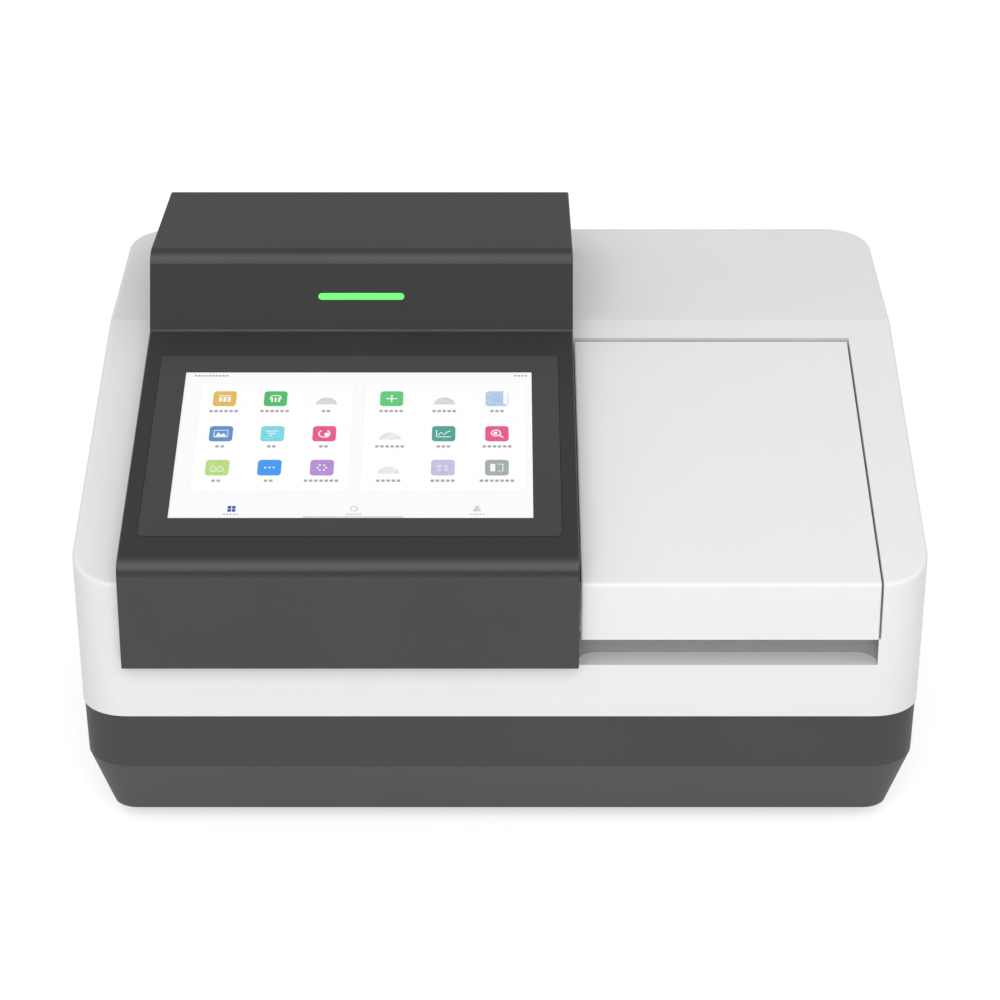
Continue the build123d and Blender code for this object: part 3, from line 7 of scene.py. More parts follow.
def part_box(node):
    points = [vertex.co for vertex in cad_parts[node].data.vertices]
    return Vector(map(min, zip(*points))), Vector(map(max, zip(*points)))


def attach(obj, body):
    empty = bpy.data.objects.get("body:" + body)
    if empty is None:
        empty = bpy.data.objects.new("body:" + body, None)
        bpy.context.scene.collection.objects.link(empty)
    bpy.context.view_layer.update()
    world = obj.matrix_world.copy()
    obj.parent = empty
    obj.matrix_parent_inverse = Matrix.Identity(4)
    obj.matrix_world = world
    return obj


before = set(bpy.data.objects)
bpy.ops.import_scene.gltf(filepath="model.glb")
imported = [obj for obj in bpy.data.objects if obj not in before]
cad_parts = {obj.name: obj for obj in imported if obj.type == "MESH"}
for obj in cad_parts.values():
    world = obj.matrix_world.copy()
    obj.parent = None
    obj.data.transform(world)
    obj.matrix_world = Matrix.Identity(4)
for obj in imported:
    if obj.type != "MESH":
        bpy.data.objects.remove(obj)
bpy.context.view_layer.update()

# Lengths are in millimetres, as in the construction of the model, and MM brings them to metres.
MM = 0.001

# Relief of a moulded grain and of brushed metal, in metres.
GRAIN_DEPTH = 0.04 * MM
BRUSH_DEPTH = 0.03 * MM

# The display: its tilt, the middle of its lower edge just over its face, and its size.
SLOPE = math.radians(18.6)
SCREEN_LOW = Vector((-88.75, -156.068, 196.887)) * MM
PICTURE_WIDTH = 217.0
PICTURE_HEIGHT = 135.6

# The display's menu: tile side, how far its caption lies below it, and caption heights.
TILE = 14.4
CAPTION_DROP = 11.9
CAPTION = 2.7
SMALL_CAPTION = 1.7
STATUS_TEXT = 1.9

# Layers of the picture over the display's face, as lowest and highest points.
GROUND = (0.0, 0.06)
EDGE = (0.05, 0.09)
CARD = (0.08, 0.12)
FOOT = (0.05, 0.10)
TILE_LAYER = (0.11, 0.16)
TEXT_LAYER = (0.11, 0.15)
SIGN_LAYER = (0.15, 0.19)

# The rear panel's outer face, and its fasteners.
PANEL_FACE = 193.0
PANEL_SCREW_SIDE = 12.0
PANEL_SCREW_END = 11.0
FAN_SCREW_INSET = 5.0
INLET_SCREW_INSET = 4.6
INLET_FLANGE = 2.5
POST_INSET = 3.2
POST_FLANGE = 1.0

# Numbers on the carousel: how many, their size, their circle's radius, and how far each stands
# from its pocket, in degrees.
STATIONS = 12
NUMBER_SIZE = 5.2
NUMBER_CIRCLE = 60.0
NUMBER_TURN = 11.0


# Shader helpers

def new_material(name):
    """Material with an empty node tree but for its Principled shader and output."""
    material = bpy.data.materials.new(name)
    material.use_nodes = True
    tree = material.node_tree
    shader = tree.nodes["Principled BSDF"]
    return material, tree, shader


def node(tree, kind, **values):
    """Shader node with its properties or unlinked inputs set by name."""
    made = tree.nodes.new(kind)
    for key, value in values.items():
        if hasattr(made, key):
            setattr(made, key, value)
        else:
            made.inputs[key.replace("_", " ")].default_value = value
    return made


def texture(tree, scale, detail=2.0, roughness=0.5, stretch=(1, 1, 1)):
    """Noise over the surface in metres of the object's own frame."""
    place = node(tree, "ShaderNodeTexCoord")
    mapping = node(tree, "ShaderNodeMapping")
    mapping.inputs["Scale"].default_value = stretch
    noise = node(tree, "ShaderNodeTexNoise", Scale=scale, Detail=detail, Roughness=roughness)
    tree.links.new(place.outputs["Object"], mapping.inputs["Vector"])
    tree.links.new(mapping.outputs["Vector"], noise.inputs["Vector"])
    return noise.outputs["Fac"]


def spread(tree, value, low, high, source=(0.3, 0.7)):
    """Maps a texture's value onto a range."""
    made = node(tree, "ShaderNodeMapRange")
    made.inputs["From Min"].default_value, made.inputs["From Max"].default_value = source
    made.inputs["To Min"].default_value, made.inputs["To Max"].default_value = low, high
    tree.links.new(value, made.inputs["Value"])
    return made.outputs["Result"]


def between(tree, factor, first, second):
    """Colour between two colours."""
    made = node(tree, "ShaderNodeMix", data_type="RGBA")
    made.inputs["A"].default_value = (*first, 1)
    made.inputs["B"].default_value = (*second, 1)
    tree.links.new(factor, made.inputs["Factor"])
    return made.outputs["Result"]


def shade(colour, by):
    """A colour made lighter or darker."""
    return tuple(min(1.0, c * (1 + by)) for c in colour)


def tone(red, green, blue):
    """Linear colour of a screen colour from 0 to 255."""
    return tuple((v / 255) ** 2.2 for v in (red, green, blue))


def painted_shade_by_tilt(tree, stops, cloud, mottle):
    """Painted light and shade: a grey that follows how far a face turns up, from pairs of its normal's
    height and a value.
    """
    place = node(tree, "ShaderNodeTexCoord")
    axes = node(tree, "ShaderNodeSeparateXYZ")
    tree.links.new(place.outputs["Normal"], axes.inputs["Vector"])
    ramp = node(tree, "ShaderNodeValToRGB")
    elements = ramp.color_ramp.elements
    elements.remove(elements[1])
    elements[0].color = (stops[0][1],) * 3 + (1,)
    for height, value in stops[1:]:
        elements.new((height + 1) / 2).color = (value,) * 3 + (1,)
    tree.links.new(spread(tree, axes.outputs["Z"], 0, 1, (-1, 1)), ramp.inputs["Fac"])
    made = node(tree, "ShaderNodeVectorMath", operation="SCALE")
    tree.links.new(ramp.outputs["Color"], made.inputs["Vector"])
    tree.links.new(spread(tree, cloud, 1 - mottle, 1 + mottle, (0, 1)), made.inputs["Scale"])
    return made.outputs["Vector"]


def inside_box(tree, corner, opposite):
    """Factor that is 1 inside a box in the object's own frame and 0 outside it."""
    place = node(tree, "ShaderNodeTexCoord")
    axes = node(tree, "ShaderNodeSeparateXYZ")
    tree.links.new(place.outputs["Object"], axes.inputs["Vector"])
    factor = None
    for axis, low, high in zip("XYZ", corner, opposite):
        middle, half = (low + high) / 2, abs(high - low) / 2
        near = node(tree, "ShaderNodeMath", operation="COMPARE")
        tree.links.new(axes.outputs[axis], near.inputs[0])
        near.inputs[1].default_value, near.inputs[2].default_value = middle * MM, half * MM
        if factor is None:
            factor = near.outputs[0]
        else:
            both = node(tree, "ShaderNodeMath", operation="MULTIPLY")
            tree.links.new(factor, both.inputs[0])
            tree.links.new(near.outputs[0], both.inputs[1])
            factor = both.outputs[0]
    return factor


def blend_colours(tree, factor, first, second):
    """Mix of two linked colours."""
    made = node(tree, "ShaderNodeMix", data_type="RGBA")
    tree.links.new(factor, made.inputs["Factor"])
    tree.links.new(first, made.inputs["A"])
    tree.links.new(second, made.inputs["B"])
    return made.outputs["Result"]


def moulded(name, colour, rough, grain=1400.0, bump=0.02, mottle=0.02, tilt_shade=None, recess_shade=None, gloss=0.5):
    """Moulded plastic with a fine grain and a faint cloudiness.

    The greys given for how far a face turns up, in place of a colour, are painted light and shade, such as
    a paler painted highlight along a rounded fold.
    The box and grey given for a recess paint shade on the surface inside that box.
    """
    material, tree, shader = new_material(name)
    cloud = spread(tree, texture(tree, 14.0, 3.0), 0, 1)
    if tilt_shade:
        result = painted_shade_by_tilt(tree, tilt_shade, cloud, mottle)
    else:
        result = between(tree, cloud, shade(colour, -mottle), shade(colour, mottle))
    if recess_shade:
        corner, opposite, shade_grey = recess_shade
        second = between(tree, cloud, shade(shade_grey, -mottle), shade(shade_grey, mottle))
        result = blend_colours(tree, inside_box(tree, corner, opposite), result, second)
    tree.links.new(result, shader.inputs["Base Color"])
    shader.inputs["Specular IOR Level"].default_value = gloss
    fine = texture(tree, grain, 2.0, 0.6)
    tree.links.new(spread(tree, fine, rough - 0.05, rough + 0.05), shader.inputs["Roughness"])
    relief = node(tree, "ShaderNodeBump", Strength=bump * 10, Distance=GRAIN_DEPTH)
    tree.links.new(fine, relief.inputs["Height"])
    tree.links.new(relief.outputs["Normal"], shader.inputs["Normal"])
    return material


def metal(name, colour, rough, stretch=(1, 1, 1), grain=900.0, bump=0.15):
    """Metal with a fine grain, brushed where it is stretched."""
    material, tree, shader = new_material(name)
    shader.inputs["Metallic"].default_value = 1.0
    fine = texture(tree, grain, 3.0, 0.6, stretch)
    cloud = texture(tree, 20.0, 2.0)
    tree.links.new(
        between(tree, spread(tree, cloud, 0, 1), shade(colour, -0.06), shade(colour, 0.06)),
        shader.inputs["Base Color"],
    )
    tree.links.new(spread(tree, fine, rough - 0.08, rough + 0.08), shader.inputs["Roughness"])
    relief = node(tree, "ShaderNodeBump", Strength=bump, Distance=BRUSH_DEPTH)
    tree.links.new(fine, relief.inputs["Height"])
    tree.links.new(relief.outputs["Normal"], shader.inputs["Normal"])
    return material


def glassy(name, colour, rough, clearness):
    """Clear or tinted glass with slight smears."""
    material, tree, shader = new_material(name)
    shader.inputs["Transmission Weight"].default_value = clearness
    shader.inputs["IOR"].default_value = 1.46
    smear = texture(tree, 60.0, 3.0)
    tree.links.new(spread(tree, smear, rough, rough + 0.06), shader.inputs["Roughness"])
    tree.links.new(
        between(tree, spread(tree, smear, 0, 1), shade(colour, -0.03), shade(colour, 0.03)),
        shader.inputs["Base Color"],
    )
    return material


def lit(name, colour, strength, mottle=0.06):
    """Lit plastic with a faint unevenness."""
    material, tree, shader = new_material(name)
    shader.inputs["Roughness"].default_value = 0.35
    cloud = texture(tree, 90.0, 2.0)
    light = between(tree, spread(tree, cloud, 0, 1), shade(colour, -mottle), shade(colour, mottle))
    tree.links.new(light, shader.inputs["Base Color"])
    tree.links.new(light, shader.inputs["Emission Color"])
    shader.inputs["Emission Strength"].default_value = strength
    return material


def flat_print(name, colour, surface, glow, mottle=0.02):
    """Flat printed or shown element: its own light over the colour of its surface."""
    material, tree, shader = new_material(name)
    cloud = texture(tree, 300.0, 1.0)
    light = between(tree, spread(tree, cloud, 0, 1), shade(colour, -mottle), shade(colour, mottle))
    shader.inputs["Base Color"].default_value = (*surface, 1)
    shader.inputs["Specular IOR Level"].default_value = 0.2
    shader.inputs["Roughness"].default_value = 0.3
    tree.links.new(light, shader.inputs["Emission Color"])
    shader.inputs["Emission Strength"].default_value = glow
    return material


def shown(name, colour, mottle=0.02):
    """Element of the display's picture, dull where it gives no light."""
    return flat_print("picture_" + name, colour, tuple(0.08 * c for c in colour), 0.9, mottle)


WHITE = (0.815, 0.815, 0.815)

# Box of the finger recess in front of the lid, and the grey painted on its surface there as shade.
RECESS_SHADE = ((46.0, -185.5, 114.5), (224.9, -166.0, 132.0), (0.30, 0.30, 0.30))

# Height of a face's normal, from -1 for down to 1 for up, and the grey that goes with it. For the console
# these greys are painted light and shade: fronts lighter than tops, with painted highlights along the
# rounded folds.
CONSOLE_PAINTED_LIGHT = (
    (-1.0, 0.0635), (0.1, 0.0635), (0.25, 0.036), (0.4, 0.029), (0.5, 0.067), (0.68, 0.093), (0.8, 0.069),
    (0.9, 0.043), (0.94, 0.031), (1.0, 0.023),
)
# For the base, the faces that turn down are painted lighter, as light thrown up from the floor.
BASE_PAINTED_LIGHT = ((-1.0, 0.088), (-0.3, 0.088), (-0.05, 0.058), (1.0, 0.058))

looks = {
    "white": moulded("moulded_white", WHITE, 0.42, mottle=0.006, recess_shade=RECESS_SHADE),
    "lid": moulded("moulded_white_lid", (0.82, 0.82, 0.82), 0.42, mottle=0.006),
    "console": moulded(
        "moulded_dark_console", None, 0.52, grain=1800.0, bump=0.03, mottle=0.03,
        tilt_shade=CONSOLE_PAINTED_LIGHT, gloss=0.15,
    ),
    "base": moulded(
        "moulded_dark_base", None, 0.55, grain=1500.0, bump=0.04, mottle=0.03,
        tilt_shade=BASE_PAINTED_LIGHT, gloss=0.25,
    ),
    "glass": moulded(
        "touch_glass_dark", (0.033, 0.033, 0.034), 0.28, grain=300.0, bump=0.002, mottle=0.02, gloss=0.3
    ),
    "rubber": moulded("rubber_black", (0.02, 0.02, 0.021), 0.75, grain=900.0, bump=0.08, mottle=0.1),
    "plate": metal("milled_plate", (0.62, 0.63, 0.64), 0.4, (1, 12, 1)),
    "steel": metal("brushed_steel", (0.56, 0.56, 0.57), 0.3, (10, 1, 1)),
    "zinc": metal("plated_sheet", (0.6, 0.61, 0.62), 0.35, (1, 1, 1), 300.0),
    "brass": metal("machined_brass", (0.72, 0.52, 0.24), 0.3),
    "board": moulded("solder_mask", (0.02, 0.16, 0.06), 0.35, grain=700.0, bump=0.03, mottle=0.12),
    "chamber": moulded("chamber_black", (0.022, 0.022, 0.023), 0.6, grain=1200.0, bump=0.06, mottle=0.08),
    "acetal": moulded("acetal_gear", (0.66, 0.65, 0.6), 0.35, grain=500.0, bump=0.02, mottle=0.02),
    "anodised": moulded("anodised_black", (0.02, 0.02, 0.022), 0.38, grain=2400.0, bump=0.05, mottle=0.08),
    "quartz": glassy("clear_quartz", (0.95, 0.98, 0.99), 0.02, 0.95),
    "cap": moulded("cap_blue", (0.05, 0.2, 0.34), 0.4, grain=900.0, bump=0.03, mottle=0.04),
    "motor": moulded("motor_black", (0.025, 0.025, 0.027), 0.45, grain=1600.0, bump=0.06, mottle=0.06),
    "cast": moulded("cast_enamel", (0.16, 0.165, 0.175), 0.5, grain=500.0, bump=0.12, mottle=0.05),
    "mirror": metal("front_silvered", (0.9, 0.91, 0.92), 0.1, (1, 1, 1), 50.0, 0.0),
    "filter": glassy("filter_glass", (0.9, 0.5, 0.15), 0.05, 0.7),
    "sheet": moulded("rear_enamel", (0.22, 0.225, 0.23), 0.45, grain=700.0, bump=0.1, mottle=0.05),
    "black": moulded("moulded_black", (0.018, 0.018, 0.02), 0.4, grain=1300.0, bump=0.04, mottle=0.08),
    "lcd": lit("lcd_backlight", (0.85, 0.88, 0.9), 0.4),
    "green": lit("green_light", tone(80, 216, 84), 0.38),
}

look_of = {
    "base": "base_tray",
    "rubber": "feet chamber_gasket",
    "plate": "chassis_plate hub_post",
    "white": "upper_housing",
    "console": "console_cover",
    "glass": "touch_glass",
    "lcd": "lcd_panel",
    "zinc": "display_bracket filter_bracket lamp_house power_supply usb_ports lan_port serial_port",
    "board": "display_board status_board main_board control_board",
    "green": "status_light",
    "chamber": "sample_tub lid_liner",
    "lid": "sample_lid",
    "steel": "hinge_brackets hinge_pins hub_collar drive_shaft entrance_slit exit_slit",
    "acetal": "carousel_gear",
    "anodised": "carousel_block detector_head mirror_holders grating_turret beam_tube filter_wheel",
    "quartz": "cuvettes beam_window tungsten_lamp deuterium_lamp",
    "cap": "cuvette_caps",
    "brass": "drive_pinion",
    "motor": "drive_motor home_sensor grating_motor filter_motor",
    "cast": "monochromator_housing monochromator_cover",
    "mirror": "collimating_mirror focusing_mirror grating beam_combiner",
    "filter": "filters",
    "sheet": "rear_panel",
    "black": "mains_inlet switch_frame power_rocker fan_frame fan_rotor",
}
for look, names in look_of.items():
    for name in names.split():
        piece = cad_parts[name]
        piece.data.materials.clear()
        piece.data.materials.append(looks[look])


# Small meshes

def prism(points, low, high):
    """Vertices and faces of a flat shape drawn out from low to high."""
    count = len(points)
    verts = [(x, y, low) for x, y in points] + [(x, y, high) for x, y in points]
    faces = [tuple(range(count, 2 * count)), tuple(reversed(range(count)))]
    faces += [(i, (i + 1) % count, count + (i + 1) % count, count + i) for i in range(count)]
    return verts, faces


def bar(x0, x1, y0, y1):
    """Corners of a plain rectangle."""
    return [(x0, y0), (x1, y0), (x1, y1), (x0, y1)]


def arc(x, y, radius, start, end, steps):
    """Points along an arc, in degrees."""
    turn = [math.radians(start + (end - start) * i / steps) for i in range(steps + 1)]
    return [(x + radius * math.cos(t), y + radius * math.sin(t)) for t in turn]


def card(x, y, wide, high, corner, steps=5):
    """Rounded rectangle about its middle."""
    points = []
    for sx, sy, start in ((1, -1, -90), (1, 1, 0), (-1, 1, 90), (-1, -1, 180)):
        centre = (x + sx * (wide / 2 - corner), y + sy * (high / 2 - corner))
        points += arc(*centre, corner, start, start + 90, steps)
    return points


def line(points, wide):
    """Ribbon of an even width along open points."""
    left, right = [], []
    for i, (x, y) in enumerate(points):
        before, after = points[max(i - 1, 0)], points[min(i + 1, len(points) - 1)]
        dx, dy = after[0] - before[0], after[1] - before[1]
        size = math.hypot(dx, dy) or 1.0
        nx, ny = -dy / size * wide / 2, dx / size * wide / 2
        left.append((x + nx, y + ny))
        right.append((x - nx, y - ny))
    return right + left[::-1]


class Sheet:
    """Flat shapes of several materials in one mesh, laid on a plane."""

    def __init__(self):
        self.verts, self.faces, self.looks, self.materials = [], [], [], []

    def add(self, points, low, high, material):
        """Adds one shape between two heights."""
        verts, faces = prism(points, low, high)
        start = len(self.verts)
        self.verts += verts
        self.faces += [tuple(start + i for i in face) for face in faces]
        if material not in self.materials:
            self.materials.append(material)
        self.looks += [self.materials.index(material)] * len(faces)

    def lay(self, name, matrix, body, slot):
        """Makes the piece in place and lets it ride on a body."""
        mesh = bpy.data.meshes.new(name)
        mesh.from_pydata([matrix @ (Vector(v) * MM) for v in self.verts], [], self.faces)
        for material in self.materials:
            mesh.materials.append(material)
        for face, look in zip(mesh.polygons, self.looks):
            face.material_index = look
        piece = bpy.data.objects.new(name, mesh)
        bpy.context.scene.collection.objects.link(piece)
        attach(piece, body)
        return piece


# Picture on the display

def make_picture():
    """Menu with coloured tiles on two cards, a status line and a row of three marks below."""
    ground = shown("ground", tone(250, 251, 252), 0.004)
    paper = shown("card", tone(254, 254, 254), 0.003)
    edge = shown("edge", tone(240, 241, 243))
    glyph = shown("glyph", tone(246, 248, 250))
    ink = shown("ink", tone(166, 166, 170), 0.1)
    pale_ink = shown("pale_ink", tone(206, 206, 210), 0.1)
    shades = {
        "amber": (222, 184, 84), "green": (79, 186, 103), "faint": (214, 211, 216),
        "blue": (90, 143, 200), "cyan": (120, 215, 225), "pink": (228, 87, 141),
        "lime": (184, 219, 130), "azure": (66, 150, 240), "purple": (180, 140, 215),
        "mint": (96, 200, 120), "pale_blue": (176, 203, 232), "teal": (78, 160, 145),
        "lavender": (198, 190, 222), "sage": (160, 172, 163), "navy": (70, 80, 170),
        "mist": (232, 231, 234),
    }
    tints = {name: shown(name, tone(*colour), 0.07) for name, colour in shades.items()}
    matrix = Matrix.Translation(SCREEN_LOW) @ Matrix.Rotation(SLOPE, 4, "X")
    lay_ground(matrix, ground, paper, edge, pale_ink)
    lay_tiles(matrix, tints, glyph, ink)
    lay_marks(matrix, tints, ground, ink, pale_ink)


def lay_ground(matrix, ground, paper, edge, pale_ink):
    """White ground, two cards with a fine edge, and the bar at the foot."""
    half = PICTURE_WIDTH / 2
    shade_strip, line_low, line_high = 0.9, 15.6, 15.8
    card_middle, card_height, card_corner, card_rim = 73.9, 101.4, 3.0, 0.35
    base = Sheet()
    base.add(bar(-half, half, 0, PICTURE_HEIGHT), *GROUND, ground)
    # A thin grey strip down the left side of the picture is painted shade, where the display sits behind
    # its glass.
    base.add(bar(-half, -half + shade_strip, 0, PICTURE_HEIGHT), 0.05, 0.07, edge)
    for x0, x1 in ((-98.0, -2.0), (4.2, 105.0)):
        middle, wide = (x0 + x1) / 2, x1 - x0
        inner = wide - 2 * card_rim, card_height - 2 * card_rim, card_corner - 0.3
        base.add(card(middle, card_middle, wide, card_height, card_corner), *EDGE, edge)
        base.add(card(middle, card_middle, *inner), *CARD, paper)
    base.add(bar(-half + 0.5, half - 0.5, line_low, line_high), 0.05, 0.08, edge)
    base.add(card(1.5, 0.7, 60.0, 1.1, 0.5), *FOOT, pale_ink)
    base.lay("picture_ground", matrix, "housing", "lcd")


def lay_tiles(matrix, tints, glyph, ink):
    """Three rows of six tiles, each with its sign and its caption."""
    columns = (-82.4, -50.8, -19.0, 21.4, 54.2, 86.9)
    rows = {
        109.9: ("amber", "green", "faint", "mint", "faint", "pale_blue"),
        76.5: ("blue", "cyan", "pink", "mist", "teal", "pink"),
        45.0: ("lime", "azure", "purple", "mist", "lavender", "sage"),
    }
    captions = {
        109.9: (18, 18, 7, 14, 14, 10),
        76.5: (7, 7, 7, 18, 10, 19),
        45.0: (7, 7, 21, 14, 14, 21),
    }
    dome, dome_drop = 6.6, 5.5
    tiles = Sheet()
    for v, names in rows.items():
        for column, (x, name) in enumerate(zip(columns, names)):
            if name in ("faint", "mist"):
                tiles.add(arc(x, v - dome_drop, dome, 0, 180, 18), *TILE_LAYER, tints[name])
            else:
                tiles.add(card(x, v, TILE, TILE, TILE / 6), *TILE_LAYER, tints[name])
            draw_mark(tiles, name, column, x, v, glyph)
            draw_words(tiles, x, v - CAPTION_DROP, captions[v][column], CAPTION, ink)
    tiles.lay("picture_tiles", matrix, "housing", "lcd")


def lay_marks(matrix, tints, ground, ink, pale_ink):
    """Three small marks with captions at the foot, and the status line at the top."""
    squares, ring, person = -71.1, 1.8, 75.1
    marks = Sheet()
    for x in (squares - 1.3, squares + 1.3):
        for v in (6.5, 9.3):
            marks.add(card(x, v, 2.2, 2.4, 0.3, 2), 0.05, 0.12, tints["navy"])
    marks.add(arc(ring, 8.0, 2.4, 0, 360, 20)[:-1], *FOOT, pale_ink)
    marks.add(arc(ring, 8.0, 1.6, 0, 360, 20)[:-1], 0.09, 0.12, ground)
    marks.add(arc(person, 9.2, 1.4, 0, 360, 14)[:-1], *FOOT, pale_ink)
    marks.add(arc(person, 5.8, 2.6, 0, 180, 12), *FOOT, pale_ink)
    for x, material in ((squares - 0.3, tints["lavender"]), (ring, pale_ink), (person, pale_ink)):
        draw_words(marks, x, 3.0, 9, SMALL_CAPTION, material)
    for x, wide in ((-92.4, 22), (101.6, 8)):
        draw_words(marks, x, 132.3, wide, STATUS_TEXT, ink)
    marks.lay("picture_marks", matrix, "housing", "lcd")


def draw_words(sheet, x, v, wide, high, material):
    """Row of plain blocks that stands for a caption and spells nothing."""
    cell, block = 1.15 * high, 0.8 * high
    count = max(2, round(wide / cell))
    start = x - (count - 1) * cell / 2
    for i in range(count):
        sheet.add(card(start + i * cell, v, block, block, 0.2 * block, 2), *TEXT_LAYER, material)


def draw_mark(sheet, name, column, x, v, glyph):
    """Simple sign in the middle of a tile."""

    def shape(points):
        sheet.add([(x + a, v + b) for a, b in points], *SIGN_LAYER, glyph)

    def stroke(points, wide=0.8):
        shape(line(points, wide))

    def patch(x0, x1, y0, y1):
        shape(bar(x0, x1, y0, y1))

    def dot(a, b, steps):
        shape(arc(a, b, 0.7, 0, 360, steps)[:-1])

    if name == "amber":
        patch(-3.6, 3.6, 2.4, 3.2)
        for i in range(3):
            patch(-3.6 + 2.7 * i, -1.8 + 2.7 * i, -3.0, 1.4)
    elif name == "green":
        stroke([(-3.6, -0.6), (-2.6, 2.6), (0, 3.2), (2.6, 2.6), (3.6, -0.6)])
        for i in (-1, 0, 1):
            patch(2.2 * i - 0.6, 2.2 * i + 0.6, -3.2, 1.0)
    elif name == "mint":
        patch(-3.4, 3.4, -0.45, 0.45)
        patch(-0.45, 0.45, -3.4, 3.4)
    elif name == "pale_blue":
        shape([(3.9, 7.0), (6.8, 7.0), (6.8, -6.8), (3.9, -4.6)])
    elif name == "blue":
        stroke([(-4.2, -3.0), (-4.2, 3.2), (4.2, 3.2), (4.2, -3.0), (-4.2, -3.0)], 0.6)
        shape([(-3.4, -2.6), (3.6, -2.6), (1.8, 0.4), (0, -1.0), (-1.6, 1.4)])
    elif name == "cyan":
        for i in range(3):
            patch(-4.0 + i, 4.0 - 2 * i, 2.2 - 2.2 * i, 2.8 - 2.2 * i)
    elif name == "pink":
        if column == 2:
            stroke(arc(0, 0, 3.4, 120, 420, 14))
            patch(0.2, 2.6, -2.4, 0.8)
        else:
            stroke(arc(-0.6, 0.6, 2.8, 0, 360, 16))
            stroke([(1.4, -1.4), (3.8, -3.6)], 1.0)
            patch(-2.0, 0.2, -0.8, 1.8)
    elif name == "teal":
        stroke([(-4.4, 3.4), (-4.4, -3.0), (4.4, -3.0)], 0.7)
        stroke([(-3.4, -1.4), (-1.6, 1.2), (0.4, -0.8), (2.2, 1.6), (4.2, 2.4)], 0.7)
    elif name == "lime":
        stroke([(-4.2, -1.4), (-2.4, 2.2), (-0.6, -1.8), (1.4, 1.8), (4.2, -1.8)], 0.7)
        patch(-4.2, 4.2, -3.4, -2.8)
    elif name == "azure":
        for i in (-1, 0, 1):
            dot(2.6 * i, 0, 10)
    elif name == "purple":
        for a, b in arc(0, 0, 2.6, 0, 360, 6)[:-1]:
            dot(a, b, 8)
    elif name == "lavender":
        for a, b in ((-2.2, 1.2), (2.2, 1.2), (-2.2, -2.0), (2.2, -2.0)):
            stroke([(a + 0.9 * math.cos(t / 2), b + 0.9 * math.sin(t / 2)) for t in range(13)], 0.4)
    elif name == "sage":
        patch(-4.0, -1.0, -3.4, 3.4)
        stroke([(0.4, -3.2), (3.6, -3.2), (3.6, 3.2), (0.4, 3.2)], 0.6)


# Fasteners and numbers

def screw(sheet, x, y, radius, proud, material, shadow):
    """Domed head in four steps, with a crossed recess drawn as a dark film of painted shade."""
    levels = 4
    for level in range(levels):
        t = level / levels
        disc = arc(x, y, radius * math.sqrt(1 - 0.75 * t * t), 0, 360, 20)[:-1]
        low = 0.9 * proud * t if level else -0.2
        sheet.add(disc, low, proud * (t + 1 / levels), material)
    reach, half, film = 0.55 * radius, 0.13 * radius, 0.02
    sheet.add(bar(x - reach, x + reach, y - half, y + half), proud, proud + film, shadow)
    sheet.add(bar(x - half, x + half, y - reach, y + reach), proud, proud + film, shadow)


def rear_box(name):
    """Lowest and highest corner of a node in millimetres."""
    low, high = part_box(name)
    return Vector(low) / MM, Vector(high) / MM


def make_rear_screws():
    """Screws of the rear panel, the fan and the mains inlet, and the serial socket's posts."""
    # The sheet's X runs to the left as seen from behind, and its Z points rearward.
    matrix = Matrix(((-1, 0, 0, 0), (0, 0, 1, PANEL_FACE * MM), (0, 1, 0, 0), (0, 0, 0, 1)))
    steel, dark = looks["steel"], looks["black"]
    panel, inlet, posts = Sheet(), Sheet(), Sheet()

    low, high = rear_box("rear_panel")
    for x in (low.x + PANEL_SCREW_SIDE, (low.x + high.x) / 2, high.x - PANEL_SCREW_SIDE):
        for z in (low.z + PANEL_SCREW_END, high.z - PANEL_SCREW_END):
            screw(panel, -x, z, 2.8, 1.5, steel, dark)
    low, high = rear_box("fan_frame")
    for x in (low.x + FAN_SCREW_INSET, high.x - FAN_SCREW_INSET):
        for z in (low.z + FAN_SCREW_INSET, high.z - FAN_SCREW_INSET):
            screw(panel, -x, z, 2.6, 1.4, dark, dark)
    panel.lay("rear_panel_screws", matrix, "housing", "steel")

    low, high = rear_box("mains_inlet")
    for x in (low.x + INLET_SCREW_INSET, high.x - INLET_SCREW_INSET):
        screw(inlet, -x, (low.z + high.z) / 2, 2.4, 1.2, steel, dark)
    inlet.lay("inlet_screws", Matrix.Translation((0, INLET_FLANGE * MM, 0)) @ matrix, "housing", "steel")

    low, high = rear_box("serial_port")
    middle = (low.z + high.z) / 2
    for x in (low.x + POST_INSET, high.x - POST_INSET):
        posts.add(arc(-x, middle, 2.4, 0, 360, 6)[:-1], 0.0, 3.2, steel)
        # A dark disc on each post's end is painted shade for its threaded hole.
        posts.add(arc(-x, middle, 1.3, 0, 360, 14)[:-1], 3.2, 3.3, dark)
    posts.lay("serial_posts", Matrix.Translation((0, POST_FLANGE * MM, 0)) @ matrix, "housing", "steel")


def make_numbers():
    """Numbers beside the carousel's pockets."""
    low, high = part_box("carousel_block")
    centre = Vector(((low[0] + high[0]) / 2, (low[1] + high[1]) / 2, high[2]))
    colour = (0.75, 0.75, 0.74)
    white = flat_print("number_white", colour, colour, 0.0)
    for i in range(STATIONS):
        angle = math.radians(180 + 360 / STATIONS * i + NUMBER_TURN)
        name = f"number_{i + 1}"
        curve = bpy.data.curves.new(name, "FONT")
        curve.body, curve.size, curve.extrude = str(i + 1), NUMBER_SIZE * MM, 0.05 * MM
        curve.align_x, curve.align_y = "CENTER", "CENTER"
        curve.materials.append(white)
        piece = bpy.data.objects.new(name, curve)
        piece.location = centre + Vector((math.cos(angle), math.sin(angle), 0)) * NUMBER_CIRCLE * MM
        piece.location.z += 0.06 * MM
        piece.rotation_euler = (0, 0, angle - math.pi / 2)
        bpy.context.scene.collection.objects.link(piece)
        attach(piece, "carousel")


make_picture()
make_rear_screws()
make_numbers()


# Camera, light, floor

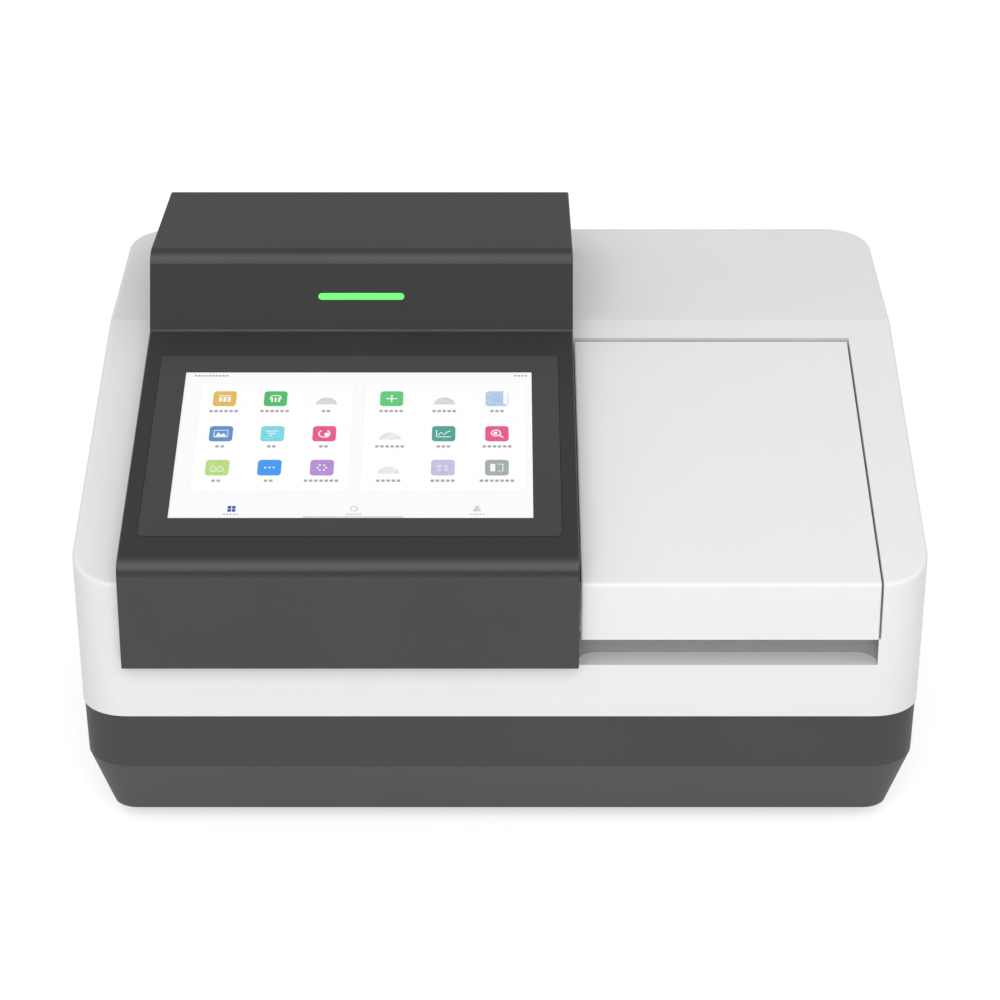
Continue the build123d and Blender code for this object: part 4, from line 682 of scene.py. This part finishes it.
def make_camera():
    """Camera at the photograph's angle: 23.4 degrees down, on the object's middle line."""
    data = bpy.data.cameras.new("camera")
    data.lens, data.sensor_width = 101.88, 36.0
    data.clip_start, data.clip_end = 0.05, 50.0
    camera = bpy.data.objects.new("camera", data)
    camera.location = (0.0, -1.6929, 0.8735)
    camera.rotation_euler = (math.radians(66.6), 0.0, 0.0)
    bpy.context.scene.collection.objects.link(camera)
    bpy.context.scene.camera = camera


def area_light(name, place, target, size, power):
    """Square soft light that faces a point."""
    data = bpy.data.lights.new(name, "AREA")
    data.size, data.energy = size, power
    lamp = bpy.data.objects.new(name, data)
    lamp.location = place
    lamp.rotation_euler = (Vector(target) - Vector(place)).to_track_quat("-Z", "Y").to_euler()
    bpy.context.scene.collection.objects.link(lamp)


def seen_directly(tree):
    """Factor that is 1 for what the camera sees, also in gloss and through glass."""
    path = node(tree, "ShaderNodeLightPath")
    value = path.outputs["Is Camera Ray"]
    for kind in ("Is Glossy Ray", "Is Transmission Ray"):
        most = node(tree, "ShaderNodeMath", operation="MAXIMUM")
        tree.links.new(value, most.inputs[0])
        tree.links.new(path.outputs[kind], most.inputs[1])
        value = most.outputs[0]
    return value


def make_world():
    """Even pale light, white to the camera and in reflections."""
    world = bpy.data.worlds.new("studio")
    bpy.context.scene.world = world
    world.use_nodes = True
    tree = world.node_tree
    back = tree.nodes["Background"]
    back.inputs["Color"].default_value = (1, 1, 1, 1)
    tree.links.new(spread(tree, seen_directly(tree), 0.6, 1.0, (0, 1)), back.inputs["Strength"])


def make_floor():
    """Pale floor that runs into the white background and keeps the shadow."""
    mesh = bpy.data.meshes.new("floor")
    reach = 12.0
    mesh.from_pydata([(x, y, 0) for x, y in bar(-reach, reach, -reach, reach)], [], [(0, 1, 2, 3)])
    floor = bpy.data.objects.new("floor", mesh)
    bpy.context.scene.collection.objects.link(floor)
    material, tree, shader = new_material("floor")
    cloud = texture(tree, 3.0)
    colour = between(tree, cloud, (0.64, 0.64, 0.64), (0.66, 0.66, 0.66))
    tree.links.new(colour, shader.inputs["Base Color"])
    shader.inputs["Roughness"].default_value = 0.9
    shader.inputs["Specular IOR Level"].default_value = 0.1
    shader.inputs["Emission Color"].default_value = (1, 1, 1, 1)
    tree.links.new(spread(tree, seen_directly(tree), 0.0, 0.6, (0, 1)), shader.inputs["Emission Strength"])
    mesh.materials.append(material)


# Point on the object that the lamps face, in metres.
AIM = (0.0, 0.0, 0.12)

make_camera()
make_world()
make_floor()
area_light("key", (-0.15, -2.0, 1.25), AIM, 1.8, 28.0)
area_light("fill", (1.9, -0.6, 1.1), AIM, 1.6, 4.0)
bpy.context.scene.view_settings.view_transform = "Standard"
